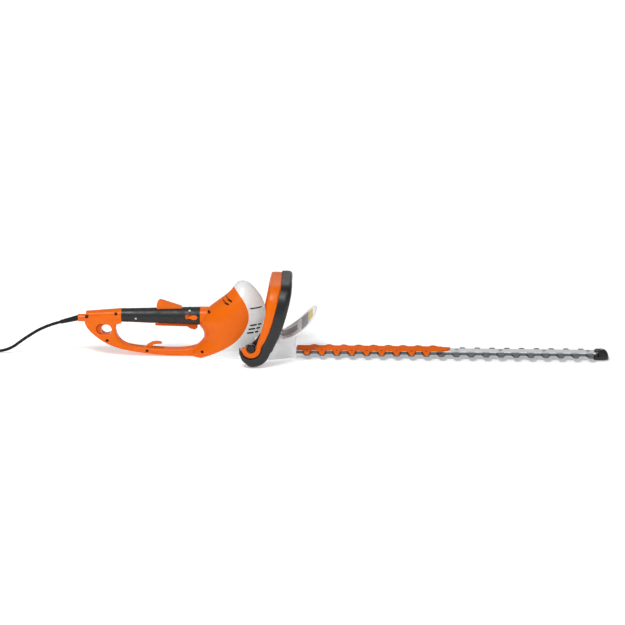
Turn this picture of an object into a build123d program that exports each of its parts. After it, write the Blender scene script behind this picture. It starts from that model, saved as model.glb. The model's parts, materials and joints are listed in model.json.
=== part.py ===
"""Mains hedge trimmer with a long double-sided blade, as an assembly of separate pieces.

Frame: +X along the blade to its tip, +Z up, +Y to the operator's left. The origin is the centre of the
bounding box's base, without the cord, on the surface that the machine stands on. Millimetres.
"""

import os
from math import atan, cos, pi, radians, sin, sqrt, tan

from build123d import *

os.makedirs("parts", exist_ok=True)

# ---------------------------------------------------------------- driving dimensions
LENGTH = 1283.0  # from the rear end of the handle to the blade's nose
X_REAR = -LENGTH / 2
X_TIP = LENGTH / 2
WALL = 2.8  # moulded shells
FIT = 0.05  # radial clearance of a pin or shaft in its hole
GAP = 0.4  # between faces of pieces that move apart

# rear handle: a barrel that turns about its own axis in an orange frame
GRIP_Z = 99.0
GRIP_REAR = -536.5
GRIP_FRONT = -347.0
GRIP_RADII = [(GRIP_REAR, 16.5), (-500.0, 17.4), (-450.0, 19.0), (-400.0, 20.6), (GRIP_FRONT, 22.0)]
REAR_SPIGOT_R = 11.0
FRONT_SPIGOT_R = 14.0
SPIGOT_LENGTH = 7.0
FRAME_HALF = 14.5  # half the thickness of the D-shaped frame
SOCKET_Z = 91.3
SOCKET_R = 9.2
CABLE_HOLE = (-573.0, 65.0)  # a loop of the extension lead goes through here
CABLE_HOLE_R = 13.3
FRAME_SCREWS = [(-549.0, 105.0), (-571.0, 38.5), (-475.0, 13.6)]
FRAME_SEAT = -11.0  # the Y of the face under a frame screw's head
BODY_SCREWS = [((-341.0, 17.0), -24.0), ((-325.0, 114.0), -14.0)]  # place, and its seat
SCREW_R = 1.9
HEAD_R = 3.7
HEAD_T = 2.6
DETENT_R = 16.4  # radius on which the index holes of the turning handle lie
TRIGGER_PIVOT = (-450.0, 84.0)
LEVER_PIVOT = (-394.0, 111.5)
PIN_R = 1.6

# drive train: upright motor, pinion, wheel with two eccentrics, two yokes
MODULE = 1.0
PINION_TEETH = 12
WHEEL_TEETH = 60
MOTOR_X = -252.0
WHEEL_X = MOTOR_X + MODULE * (PINION_TEETH + WHEEL_TEETH) / 2
WHEEL_Z = 17.8
WHEEL_T = 5.6
SHAFT_R = 4.0
AXLE_R = 3.5
THROW = 9.0  # eccentricity, which is half of each blade's stroke
ECCENTRIC_R = 14.0
YOKE_X = ECCENTRIC_R + 2 * THROW + GAP  # half the window, clear of the disc over the whole stroke
YOKE_Y = ECCENTRIC_R + THROW + GAP
STATOR_Z = (56.0, 100.0)
STATOR_R = 34.0
BORE_R = 20.0
BRUSH_Z = (119.0, 129.0)
UPPER_BEARING_Z = (151.0, 158.0)
LOWER_BEARING_Z = (27.8, 34.8)
BEARING_R = 11.0

# cutting gear, from the floor up
BLADE_T = 2.5
LOWER_BLADE_Z = 11.5
UPPER_BLADE_Z = LOWER_BLADE_Z + BLADE_T + 0.3
BAR_Z = UPPER_BLADE_Z + BLADE_T + 0.3
BAR_T = 3.0
BAR_TOP = BAR_Z + BAR_T
BAR_HALF = 14.0
BLADE_HALF = 17.0
TOOTH_TIP = 35.5  # half the width over the teeth
PITCH = 36.0
NEAR_TEETH = [-89.0 + PITCH * n for n in range(20)]
FAR_TEETH = [-71.0 + PITCH * n for n in range(19)]
BLADE_FRONT = 605.0
GUARD_START = -113.0
GUARD_END = 257.0
GUARD_T = 3.8
BAR_SCREWS = [-150.0 + 740.0 / 7 * n for n in range(8)]

# front loop handle and its switch bail
LOOP_WIDTH = 22.0  # thickness of the bar, seen from the front
PIVOT_X = -221.5
PIVOT_Z = 47.5
BOSS_R = 9.5
CURL_R = 24.0
CHANNEL_WALL = 2.4
BAIL_DROP = 3.0  # how far the bail's top bar comes down as it is squeezed

# body cross-sections: height, rear end, front end, half width
BODY_SECTIONS = [
    (0.0, -366.0, -214.0, 33.0),
    (5.0, -371.0, -208.0, 39.0),
    (14.0, -368.0, -204.0, 44.0),
    (30.0, -352.0, -205.0, 47.5),
    (50.0, -338.0, -202.0, 50.0),
    (75.0, -346.0, -195.0, 51.0),
    (100.0, -346.0, -190.0, 50.0),
    (125.0, -321.0, -191.5, 47.0),
    (150.0, -288.0, -201.0, 41.0),
    (167.0, -271.0, -213.0, 32.0),
    (178.0, -263.5, -224.0, 23.0),
    (184.0, -257.5, -233.0, 14.5),
    (186.5, -250.0, -240.0, 6.0),
]
CAVITY_SECTIONS = [(WALL, -366.0, -214.0, 33.0)] + BODY_SECTIONS[1:-2]
SEAM_Z = 24.0  # between the gear housing and the motor cover
NOSE_REAR = -215.0
NOSE_FRONT = -115.0
NOSE_TOP = 55.0

# mains cord: a short lead with a moulded plug
CORD_D = 7.5
CORD_FLOOR = 4.0
CORD_ROUTE = [
    (-684.0, 0.0, 80.0),
    (-720.7, 0.0, 70.2),
    (-772.0, 1.0, 38.0),
    (-808.0, 0.0, 9.5),
    (-852.0, -4.0, CORD_FLOOR),
    (-900.0, -18.0, CORD_FLOOR),
    (-948.0, -26.0, CORD_FLOOR),
    (-986.0, -12.0, CORD_FLOOR),
    (-1003.0, 25.0, 14.0),
    (-1000.0, 63.0, 14.0),
]
PLUG_LENGTH = 62.0
PIN_LENGTH = 19.0


# ---------------------------------------------------------------- helpers
def at_x(x):
    """The plane across X whose sketch axes are Y and Z; it extrudes towards +X."""
    return Plane.YZ.offset(x)


def at_y(y):
    """The plane across Y whose sketch axes are X and Z; it extrudes towards -Y."""
    return Plane.XZ.offset(-y)


def at_z(z):
    """The plane across Z whose sketch axes are X and Y; it extrudes towards +Z."""
    return Plane.XY.offset(z)


def rods(plane, places, radius, length, mode=Mode.ADD):
    """Round bars that stand on a plane at each of the places on it."""
    with BuildSketch(plane) as ends:
        with Locations(*places):
            Circle(radius)
    extrude(ends.sketch, amount=length, mode=mode)


def brick(plane, x_range, y_range, height, mode=Mode.ADD):
    """A rectangular block that stands on a plane, between limits in the plane's own axes."""
    with BuildSketch(plane) as base:
        with Locations(((x_range[0] + x_range[1]) / 2, (y_range[0] + y_range[1]) / 2)):
            Rectangle(x_range[1] - x_range[0], y_range[1] - y_range[0])
    extrude(base.sketch, amount=height, mode=mode)


def prism(plane, points, height, mode=Mode.ADD):
    """A straight-sided outline, extruded from a plane."""
    with BuildSketch(plane) as base:
        with BuildLine():
            Polyline(*points, close=True)
        make_face()
    extrude(base.sketch, amount=height, mode=mode)


def beside(curve, distance):
    """The curve's points moved sideways by the distance, to the left of its run."""
    moved = []
    for n, (x, z) in enumerate(curve):
        (xa, za), (xb, zb) = curve[max(n - 1, 0)], curve[min(n + 1, len(curve) - 1)]
        run = sqrt((xb - xa) ** 2 + (zb - za) ** 2)
        moved.append((x - distance * (zb - za) / run, z + distance * (xb - xa) / run))
    return moved


def coil_spring(radius, wire, length, turns):
    """A helical spring along Z from the origin, of round wire."""
    with BuildPart(mode=Mode.PRIVATE) as spring:
        with BuildLine() as path:
            Helix(pitch=length / turns, height=length, radius=radius)
        with BuildSketch(Plane(path.line @ 0, z_dir=path.line % 0)):
            Circle(wire / 2)
        sweep()
    return spring.part


def save(piece, name):
    """Labels a finished piece and writes it."""
    piece.part.label = name
    export_step(piece.part, f"parts/{name}.step")


# ---------------------------------------------------------------- shared outer forms
def skinned(sections, inset):
    """A solid skinned over elliptical sections, each drawn in by the inset."""
    with BuildPart(mode=Mode.PRIVATE) as skin:
        for z, rear, front, half in sections:
            with BuildSketch(at_z(z)):
                with Locations(((rear + front) / 2, 0)):
                    Ellipse((front - rear) / 2 - inset, half - inset)
        loft()
    return skin.part


BODY = skinned(BODY_SECTIONS, 0.0)
BODY_CAVITY = skinned(CAVITY_SECTIONS, WALL)

with BuildPart() as front_region:  # all that lies in front of the curved seam between orange and grey
    with BuildSketch(at_y(120)):
        with BuildLine():
            seam = Spline(
                (-268.0, 177.0),
                (-250.0, 159.0),
                (-234.0, 133.0),
                (-229.0, 104.0),
                (-236.0, 80.0),
                (-257.0, 51.0),
                (-292.0, 26.0),
                (-345.0, 0.0),
            )
            Polyline(seam @ 1, (-370.0, -12.0), (-60.0, -12.0), (-60.0, 230.0), (-290.0, 230.0), seam @ 0)
        make_face()
    extrude(amount=240)
FRONT_OF_SEAM = front_region.part


def frame_outline(inset=0.0):
    """The D-shaped frame seen from the side, without its openings, drawn in by the inset."""
    under = [
        (-626.0, 86.0), (-618.0, 66.0), (-602.0, 49.5), (-572.0, 29.0), (-535.0, 15.5), (-478.0, 6.0),
        (-430.0, 1.6), (-390.0, 1.0),
    ]
    with BuildSketch(mode=Mode.PRIVATE) as outline:
        with BuildLine():
            edge = Spline(*beside(under, inset))
            Polyline(
                edge @ 1, (-310.0, 1.0 + inset), (-310.0, 116.0 - inset), (GRIP_REAR, 116.0 - inset),
                (GRIP_REAR, 104.0 - inset), (-619.0, 99.0 - inset), (-626.0 + inset, 93.0 - inset), edge @ 0,
            )
        make_face()
    return outline.sketch


def opening_outline(grow=0.0):
    """The hand opening of the frame, with the space that the grip turns in, made larger all round."""
    low = [
        (-549.0, 78.0), (-550.0, 60.0), (-544.5, 45.0), (-533.0, 33.0), (-514.0, 25.5), (-478.0, 21.0),
        (-432.0, 18.6), (-400.0, 18.4), (-372.0, 21.4), (-350.0, 29.5), (-339.5, 41.0), (-336.8, 54.0),
        (-340.5, 67.0), (GRIP_FRONT, 76.0),
    ]
    with BuildSketch(mode=Mode.PRIVATE) as outline:
        with BuildLine():
            edge = Spline(*beside(low, -grow))
            above = [(GRIP_FRONT + grow, 140.0), (GRIP_REAR - grow, 140.0)]
            Polyline(edge @ 1, *above, (GRIP_REAR - grow, 82.0 + grow), edge @ 0)
        make_face()
    return outline.sketch


# ---------------------------------------------------------------- orange housing, in two halves
with BuildPart() as pillars:
    rods(at_y(60.0), [place for place, _ in BODY_SCREWS], 6.5, 120.0)
    add(BODY, mode=Mode.INTERSECT)

HOOK = [
    (-481.0, 19.6), (-474.0, 27.0), (-463.0, 33.0), (-452.0, 34.5), (-443.0, 33.7), (-439.5, 30.5),
    (-443.0, 28.2), (-452.0, 28.6), (-460.0, 26.5), (-466.0, 19.0),
]

with BuildPart() as orange:
    with BuildSketch(at_y(FRAME_HALF)):
        add(frame_outline())
        add(opening_outline(), mode=Mode.SUBTRACT)
    extrude(amount=2 * FRAME_HALF)
    rims = orange.edges().filter_by(GeomType.BSPLINE)
    fillet(rims.filter_by(lambda e: abs(e.center().Y) > FRAME_HALF - 0.1), 6.0)
    rods(at_y(FRAME_HALF), [CABLE_HOLE], CABLE_HOLE_R, 2 * FRAME_HALF, Mode.SUBTRACT)
    # the barrel behind the grip, and the round collar in front of it
    with BuildSketch(at_x(-622.0)):
        with Locations((0, GRIP_Z - 3.0)):
            Circle(12.5)
    with BuildSketch(at_x(GRIP_REAR)):
        with Locations((0, GRIP_Z)):
            Circle(17.0)
    loft()
    rods(at_x(GRIP_FRONT), [(0, GRIP_Z)], 22.5, 30.0)
    rods(at_x(X_REAR), [(0, SOCKET_Z)], SOCKET_R, 22.0)
    add(BODY)
    rods(at_x(GRIP_FRONT - 8.0), [(0, GRIP_Z)], 24.0, 8.0, Mode.SUBTRACT)  # room for the grip's front end
    # inside
    with BuildSketch(at_y(FRAME_HALF - WALL)):
        add(frame_outline(WALL))
        add(opening_outline(WALL), mode=Mode.SUBTRACT)
        with Locations(CABLE_HOLE):
            Circle(CABLE_HOLE_R + WALL, mode=Mode.SUBTRACT)
    extrude(amount=2 * (FRAME_HALF - WALL), mode=Mode.SUBTRACT)
    add(BODY_CAVITY, mode=Mode.SUBTRACT)
    # bulkhead behind the grip, with the pocket of the index ring, and a spigot at each end of the grip
    rods(at_x(GRIP_FRONT), [(0, GRIP_Z)], 22.5, 10.0)
    rods(at_x(GRIP_FRONT), [(0, GRIP_Z)], 21.2, 5.0, Mode.SUBTRACT)
    rods(at_x(GRIP_FRONT - SPIGOT_LENGTH), [(0, GRIP_Z)], FRONT_SPIGOT_R, SPIGOT_LENGTH + 5.0)
    rods(at_x(GRIP_FRONT - SPIGOT_LENGTH), [(0, GRIP_Z)], FRONT_SPIGOT_R - 3.5, 40.0, Mode.SUBTRACT)
    rods(at_x(GRIP_REAR), [(0, GRIP_Z)], REAR_SPIGOT_R, SPIGOT_LENGTH)
    rods(at_x(-585.0), [(0, GRIP_Z)], REAR_SPIGOT_R - 3.5, 56.0, Mode.SUBTRACT)
    # cord inlet, and the posts that the cord clamp is screwed to
    rods(at_x(X_REAR), [(0, SOCKET_Z)], 7.0, 11.5, Mode.SUBTRACT)
    rods(at_x(-630.0), [(0, SOCKET_Z)], CORD_D / 2 + FIT, 12.0, Mode.SUBTRACT)
    rods(at_z(89.0), [(-607.0, -7.0), (-607.0, 7.0)], 2.6, 10.0)
    # screws
    rods(at_y(FRAME_HALF - 1.0), FRAME_SCREWS, 5.0, 2 * FRAME_HALF - 2.0)
    add(pillars.part)
    rods(at_y(FRAME_SEAT), FRAME_SCREWS, HEAD_R + FIT, 30.0, Mode.SUBTRACT)
    rods(at_y(9.0), FRAME_SCREWS, SCREW_R, 9.0 - FRAME_SEAT, Mode.SUBTRACT)
    for place, seat in BODY_SCREWS:
        rods(at_y(seat), [place], HEAD_R + FIT, 60.0, Mode.SUBTRACT)
        rods(at_y(9.0), [place], SCREW_R, 9.0 - seat, Mode.SUBTRACT)
    # the hook for a loop of cable, the slots beside it, and the air slits
    prism(at_y(4.5), HOOK, 9.0)
    brick(at_z(17.0), (-519.0, -484.0), (-3.5, 3.5), 12.0, Mode.SUBTRACT)
    brick(at_z(14.0), (-459.0, -433.0), (-3.5, 3.5), 8.0, Mode.SUBTRACT)
    for drop in (0.0, 7.5):
        slit = [(-288.0 - drop, 154.5 - drop), (-269.0 - drop, 146.0 - drop), (-269.0 - drop, 144.2 - drop)]
        prism(at_y(60.0), slit + [(-288.5 - drop, 152.5 - drop)], 120.0, Mode.SUBTRACT)
    add(FRONT_OF_SEAM, mode=Mode.SUBTRACT)

HALVES = (("right", (0.0, 120.0)), ("left", (-120.0, 0.0)))  # each side, and the side cut away from it
for side, away in HALVES:
    with BuildPart() as half:
        add(orange.part)
        brick(at_z(-10.0), (X_REAR - 10.0, -150.0), away, 220.0, Mode.SUBTRACT)
    save(half, f"housing_{side}")

with BuildPart() as housing_screws:
    rods(at_y(FRAME_SEAT), FRAME_SCREWS, HEAD_R, HEAD_T)
    rods(at_y(9.0), FRAME_SCREWS, SCREW_R, 9.0 - FRAME_SEAT)
    for place, seat in BODY_SCREWS:
        rods(at_y(seat), [place], HEAD_R, HEAD_T)
        rods(at_y(9.0), [place], SCREW_R, 9.0 - seat)
save(housing_screws, "housing_screws")

with BuildPart() as index_ring:
    rods(at_x(GRIP_FRONT), [(0, GRIP_Z)], 21.0, 4.6)
    rods(at_x(GRIP_FRONT), [(0, GRIP_Z)], FRONT_SPIGOT_R + 0.2, 4.6, Mode.SUBTRACT)
    turns = [radians(180 + 45 * step) for step in (-2, -1, 0, 1, 2)]
    holes = [(DETENT_R * cos(turn), GRIP_Z + DETENT_R * sin(turn)) for turn in turns]
    rods(at_x(GRIP_FRONT), holes, 1.7, 4.6, Mode.SUBTRACT)
save(index_ring, "index_ring")

with BuildPart() as cord_clamp:
    brick(at_z(83.5), (-612.0, -602.0), (-10.0, 10.0), 5.3)
    rods(at_x(-613.0), [(0, SOCKET_Z)], CORD_D / 2, 12.0, Mode.SUBTRACT)
    rods(at_z(83.0), [(-607.0, -7.0), (-607.0, 7.0)], 1.2, 7.0, Mode.SUBTRACT)
save(cord_clamp, "cord_clamp")


# ---------------------------------------------------------------- the turning grip
def barrel(plane_radii, start, end, mode=Mode.ADD):
    """A barrel about the grip's axis whose side is a smooth curve through (x, radius) points."""
    with BuildSketch(Plane.XZ) as side:
        with BuildLine():
            curve = Spline(*[(x, GRIP_Z + r) for x, r in plane_radii])
            Polyline(curve @ 1, (end, GRIP_Z), (start, GRIP_Z), curve @ 0)
        make_face()
    revolve(side.sketch, axis=Axis((0, 0, GRIP_Z), (1, 0, 0)), mode=mode)


GRIP_ENDS = (GRIP_REAR + GAP, GRIP_FRONT - GAP)
GRIP_CAVITY = (GRIP_REAR + 4.0, GRIP_FRONT - 4.0)
GRIP_SCREWS = [(-501.5, 93.5), (-372.0, 113.5)]
GRIP_SEAT = -10.0
TEARDROP = [(-377.0, 100.0), (-368.0, 104.5), (-360.0, 106.0), (-355.0, 104.5), (-353.0, 100.2)]
TEARDROP += [(x, 2 * 100.2 - z) for x, z in TEARDROP[3:0:-1]]

with BuildPart() as grip:
    ends = [(GRIP_ENDS[0], 16.5)] + GRIP_RADII[1:-1] + [(GRIP_ENDS[1], 22.0)]
    barrel(ends, *GRIP_ENDS)
    inner = [(GRIP_CAVITY[0], 16.5)] + GRIP_RADII[1:-1] + [(GRIP_CAVITY[1], 21.9)]
    barrel([(x, r - WALL) for x, r in inner], *GRIP_CAVITY, mode=Mode.SUBTRACT)
    rods(at_x(-360.0), [(0, GRIP_Z)], FRONT_SPIGOT_R + 2 * FIT, 20.0, Mode.SUBTRACT)
    rods(at_x(-545.0), [(0, GRIP_Z)], REAR_SPIGOT_R + 2 * FIT, 20.0, Mode.SUBTRACT)
    # openings of the trigger, the lockout lever and the release slide
    brick(at_z(60.0), (-457.0, -351.4), (-9.4, 9.4), 31.0, Mode.SUBTRACT)
    brick(at_z(106.0), (-454.0, -389.0), (-7.4, 7.4), 30.0, Mode.SUBTRACT)
    brick(at_y(-9.0), (-383.0, -352.2), (93.6, 106.8), 20.0, Mode.SUBTRACT)
    rods(at_x(-355.0), [(-DETENT_R, GRIP_Z)], 1.5, 10.0, Mode.SUBTRACT)
    # screw pillars
    with BuildSketch(at_y(14.0)) as feet:
        with Locations(*GRIP_SCREWS):
            Circle(4.4)
    extrude(feet.sketch, amount=26.0)
    rods(at_y(GRIP_SEAT), GRIP_SCREWS, 3.2 + FIT, 20.0, Mode.SUBTRACT)
    rods(at_y(9.0), GRIP_SCREWS, SCREW_R, 9.0 - GRIP_SEAT, Mode.SUBTRACT)
    rods(at_y(11.0), [TRIGGER_PIVOT], PIN_R, 22.0, Mode.SUBTRACT)
    rods(at_y(14.5), [LEVER_PIVOT], PIN_R, 29.0, Mode.SUBTRACT)

for side, away in HALVES:
    with BuildPart() as half:
        add(grip.part)
        brick(at_z(0.0), (X_REAR, -150.0), away, 200.0, Mode.SUBTRACT)
    save(half, f"grip_{side}")

with BuildPart() as grip_screws:
    rods(at_y(GRIP_SEAT), GRIP_SCREWS, 3.2, 2.2)
    rods(at_y(9.0), GRIP_SCREWS, SCREW_R, 9.0 - GRIP_SEAT)
save(grip_screws, "grip_screws")

with BuildPart() as pivot_pins:
    rods(at_y(11.0), [TRIGGER_PIVOT], PIN_R, 22.0)
    rods(at_y(14.5), [LEVER_PIVOT], PIN_R, 29.0)
save(pivot_pins, "pivot_pins")

TRIGGER = [
    (-455.0, 79.0), (-453.5, 75.3), (-379.0, 73.8), (-370.0, 68.4), (-360.0, 66.1), (-353.6, 70.5),
    (-353.4, 76.5), (-356.0, 80.0), (-357.0, 83.0), (-375.0, 85.5), (-440.0, 87.5), (-455.0, 87.5),
]
with BuildPart() as trigger:
    prism(at_y(9.0), TRIGGER, 18.0)
    rods(at_y(9.0), [TRIGGER_PIVOT], PIN_R + FIT, 18.0, Mode.SUBTRACT)
    brick(at_y(3.6), (-457.0, -444.0), (78.0, 92.0), 7.2, Mode.SUBTRACT)
    fillet(trigger.edges().filter_by(Axis.X, 8).filter_by(lambda e: e.center().Z < 77), 2.0)
save(trigger, "trigger")

LEVER = [
    (-452.0, 113.0), (-451.5, 127.0), (-449.0, 134.5), (-444.5, 138.7), (-437.0, 137.0), (-392.0, 122.5),
    (-389.8, 118.0), (-389.8, 108.0), (-396.0, 107.0), (-420.0, 110.5),
]
with BuildPart() as lockout_lever:
    prism(at_y(7.0), LEVER, 14.0)
    rods(at_y(7.0), [LEVER_PIVOT], PIN_R + FIT, 14.0, Mode.SUBTRACT)
    brick(at_y(3.4), (-400.5, -389.0), (104.0, 116.5), 6.8, Mode.SUBTRACT)
save(lockout_lever, "lockout_lever")

with BuildPart() as release_slide:
    with BuildSketch(at_y(-16.2)):
        with BuildLine():
            drop = Spline(*TEARDROP, TEARDROP[0])
        make_face()
    extrude(amount=7.0)
    brick(at_y(-14.2), (-386.0, -354.6), (93.8, 106.4), 2.0)
    rods(at_x(-358.0), [(-DETENT_R, GRIP_Z)], 1.3, 10.4)
save(release_slide, "release_slide")

with BuildPart() as trigger_spring:
    with Locations(Location((TRIGGER_PIVOT[0], 3.0, TRIGGER_PIVOT[1]), (90, 0, 0))):
        add(coil_spring(2.6, 0.8, 6.0, 4))
save(trigger_spring, "trigger_spring")

with BuildPart() as lockout_spring:
    with Locations(Location((LEVER_PIVOT[0], 2.8, LEVER_PIVOT[1]), (90, 0, 0))):
        add(coil_spring(2.6, 0.8, 5.6, 4))
save(lockout_spring, "lockout_spring")

with BuildPart() as release_spring:
    with Locations(Location((-386.4, -15.2, 100.0), (0, -90, 0))):
        add(coil_spring(1.7, 0.6, 16.0, 7))
save(release_spring, "release_spring")

with BuildPart() as grip_switch:
    brick(at_z(91.5), (-432.0, -402.0), (-8.0, 8.0), 11.5)
    brick(at_z(89.8), (-412.0, -408.0), (-3.0, 3.0), 1.7)
    fillet(grip_switch.edges().filter_by(Axis.Z), 1.0)
save(grip_switch, "grip_switch")

with BuildPart() as grip_leads:
    for side in (-4.0, 4.0):
        rods(at_x(-529.0), [(side, GRIP_Z + 1.6)], 1.3, 97.0)
        rods(at_x(-402.0), [(side, GRIP_Z + 1.6)], 1.3, 47.0)
save(grip_leads, "grip_leads")

# ---------------------------------------------------------------- motor
with BuildPart() as stator_core:
    with BuildSketch(at_z(STATOR_Z[0])):
        with Locations((MOTOR_X, 0)):
            Circle(STATOR_R)
            Rectangle(56.0, 80.0, mode=Mode.INTERSECT)
            Circle(BORE_R, mode=Mode.SUBTRACT)
            with PolarLocations(25.0, 4, 45.0):
                Circle(3.6, mode=Mode.SUBTRACT)
    extrude(amount=STATOR_Z[1] - STATOR_Z[0])
save(stator_core, "stator_core")

with BuildPart() as stator_windings:
    for z in (STATOR_Z[0] - 8.5, STATOR_Z[1]):
        with BuildSketch(at_z(z)):
            with Locations((MOTOR_X, 0)):
                Circle(29.5)
                Circle(20.8, mode=Mode.SUBTRACT)
        extrude(amount=8.5)
    with BuildSketch(at_z(STATOR_Z[0])):
        with Locations((MOTOR_X, 0)):
            with PolarLocations(25.0, 4, 45.0):
                Circle(3.55)
    extrude(amount=STATOR_Z[1] - STATOR_Z[0])
save(stator_windings, "stator_windings")

with BuildPart() as fan_baffle:
    rods(at_z(45.8), [(MOTOR_X, 0)], 38.5, 1.5)
    rods(at_z(45.8), [(MOTOR_X, 0)], 22.0, 1.5, Mode.SUBTRACT)
save(fan_baffle, "fan_baffle")

with BuildPart() as rotor_shaft:
    rods(at_z(WHEEL_Z), [(MOTOR_X, 0)], 3.0, 27.0 - WHEEL_Z)
    rods(at_z(27.0), [(MOTOR_X, 0)], SHAFT_R, UPPER_BEARING_Z[1] - 27.5)
save(rotor_shaft, "rotor_shaft")

SLOTS = 12
with BuildPart() as armature_core:
    with BuildSketch(at_z(STATOR_Z[0])):
        with Locations((MOTOR_X, 0)):
            Circle(BORE_R - 0.7)
            Circle(SHAFT_R, mode=Mode.SUBTRACT)
            with PolarLocations(14.5, SLOTS):
                Circle(2.6, mode=Mode.SUBTRACT)
            with PolarLocations(BORE_R - 2.0, SLOTS):
                Rectangle(5.0, 1.4, mode=Mode.SUBTRACT)
    extrude(amount=STATOR_Z[1] - STATOR_Z[0])
save(armature_core, "armature_core")

with BuildPart() as armature_windings:
    for z in (STATOR_Z[0] - 7.0, STATOR_Z[1]):
        with BuildSketch(at_z(z)):
            with Locations((MOTOR_X, 0)):
                Circle(17.4)
                Circle(SHAFT_R + 1.0, mode=Mode.SUBTRACT)
        extrude(amount=7.0)
    with BuildSketch(at_z(STATOR_Z[0])):
        with Locations((MOTOR_X, 0)):
            with PolarLocations(14.5, SLOTS):
                Circle(2.5)
    extrude(amount=STATOR_Z[1] - STATOR_Z[0])
save(armature_windings, "armature_windings")

COMMUTATOR_R = 11.0
with BuildPart() as commutator:
    rods(at_z(113.0), [(MOTOR_X, 0)], COMMUTATOR_R, 18.5)
    with BuildSketch(at_z(115.5)):
        with Locations((MOTOR_X, 0)):
            with PolarLocations(COMMUTATOR_R, 2 * SLOTS):
                Rectangle(2.4, 0.6)
    extrude(amount=16.0, mode=Mode.SUBTRACT)
    rods(at_z(113.0), [(MOTOR_X, 0)], SHAFT_R, 18.5, Mode.SUBTRACT)
save(commutator, "commutator")

FAN_BLADES = 9
with BuildPart() as cooling_fan:
    rods(at_z(37.5), [(MOTOR_X, 0)], 30.0, 1.5)
    rods(at_z(37.5), [(MOTOR_X, 0)], 8.0, 7.3)
    with BuildSketch(at_z(39.0)):
        with Locations((MOTOR_X, 0)):
            with PolarLocations(21.0, FAN_BLADES, 12.0):
                Rectangle(16.0, 1.5, rotation=25.0)
    extrude(amount=5.8)
    rods(at_z(37.5), [(MOTOR_X, 0)], SHAFT_R, 8.0, Mode.SUBTRACT)
save(cooling_fan, "cooling_fan")

with BuildPart() as brush_holders:
    rods(at_z(BRUSH_Z[1] + 2.2), [(MOTOR_X, 0)], 31.0, 2.6)
    rods(at_z(BRUSH_Z[1] + 2.2), [(MOTOR_X, 0)], 14.0, 2.6, Mode.SUBTRACT)
    for y in (28.0, -12.5):
        brick(at_y(y), (MOTOR_X - 5.6, MOTOR_X + 5.6), (BRUSH_Z[0] - 2.2, BRUSH_Z[1] + 2.2), 15.5)
        brick(at_y(y), (MOTOR_X - 3.6, MOTOR_X + 3.6), BRUSH_Z, 15.5, Mode.SUBTRACT)
save(brush_holders, "brush_holders")

with BuildPart() as carbon_brushes:
    for y in (24.0, -COMMUTATOR_R - 0.3):
        brick(at_y(y), (MOTOR_X - 3.5, MOTOR_X + 3.5), (BRUSH_Z[0] + 0.1, BRUSH_Z[1] - 0.1), 12.7)
save(carbon_brushes, "carbon_brushes")

with BuildPart() as motor_bearings:
    for low, high in (LOWER_BEARING_Z, UPPER_BEARING_Z):
        rods(at_z(low), [(MOTOR_X, 0)], BEARING_R, high - low)
        rods(at_z(low), [(MOTOR_X, 0)], SHAFT_R + FIT, high - low, Mode.SUBTRACT)
save(motor_bearings, "motor_bearings")

with BuildPart() as bearing_bridge:
    brick(at_z(UPPER_BEARING_Z[0]), (-269.0, -219.0), (-13.5, 13.5), 10.0)
    seat = UPPER_BEARING_Z[1] - UPPER_BEARING_Z[0]
    rods(at_z(UPPER_BEARING_Z[0]), [(MOTOR_X, 0)], BEARING_R, seat, Mode.SUBTRACT)
    fillet(bearing_bridge.edges().filter_by(Axis.Z).filter_by(lambda e: e.length > 9), 4.0)
save(bearing_bridge, "bearing_bridge")

with BuildPart() as capacitor:
    brick(at_y(16.0), (-326.0, -312.0), (52.0, 72.0), 32.0)
    fillet(capacitor.edges(), 1.5)
save(capacitor, "capacitor")


def lead(name, points, radii):
    """Two parallel insulated wires, one each side of the middle plane."""
    with BuildPart() as wires:
        for side in (-1, 1):
            path = [(x, side * y, z) for x, y, z in points]
            with BuildLine() as route:
                FilletPolyline(*path, radius=radii)
            with BuildSketch(Plane(route.line @ 0, z_dir=route.line % 0)):
                Circle(1.2)
            sweep(path=route.line)
    save(wires, name)


LEAD_Z = GRIP_Z - 1.0  # under the boss of the rear frame screw
REAR_RUN = [(-598.0, 1.8, SOCKET_Z), (-582.0, 1.8, SOCKET_Z), (-562.0, 2.6, LEAD_Z), (-531.0, 2.6, LEAD_Z)]
FRONT_RUN = [(-353.0, 3.0, GRIP_Z), (-318.0, 3.0, GRIP_Z), (-300.0, 6.0, 132.6), (-283.5, 6.0, 132.6)]
lead("supply_leads", REAR_RUN, 12.0)
lead("motor_leads", FRONT_RUN, 10.0)

with BuildPart() as cord_tail:
    rods(at_x(-630.0), [(0, SOCKET_Z)], CORD_D / 2, 32.0)
save(cord_tail, "cord_tail")

# ---------------------------------------------------------------- gear train
PRESSURE = radians(25.0)


def gear_face(teeth, backlash):
    """The sketch of an involute spur gear with one tooth centred on +X."""
    pitch_r = MODULE * teeth / 2
    base_r = pitch_r * cos(PRESSURE)
    root_r = pitch_r - 1.25 * MODULE
    start_r = max(root_r, base_r)
    steps = [start_r + (pitch_r + MODULE - start_r) * n / 4 for n in range(5)]

    def unwound(radius):
        roll = sqrt(max((radius / base_r) ** 2 - 1, 0.0))
        return roll - atan(roll)

    half = pi / (2 * teeth) + unwound(pitch_r) - backlash / (2 * pitch_r)
    flank = [(r * cos(half - unwound(r)), r * sin(half - unwound(r))) for r in steps]
    with BuildSketch(mode=Mode.PRIVATE) as tooth:
        with BuildLine():
            left = Spline(*flank)
            right = Spline(*[(x, -y) for x, y in flank])
            foot = (root_r - 0.5) * cos(half), (root_r - 0.5) * sin(half)
            Line(left @ 1, right @ 1)
            Polyline(left @ 0, foot, (foot[0], -foot[1]), right @ 0)
        make_face()
    with BuildSketch(mode=Mode.PRIVATE) as gear:
        Circle(root_r)
        with PolarLocations(0.0, teeth):
            add(tooth.sketch)
    return gear.sketch


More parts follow.
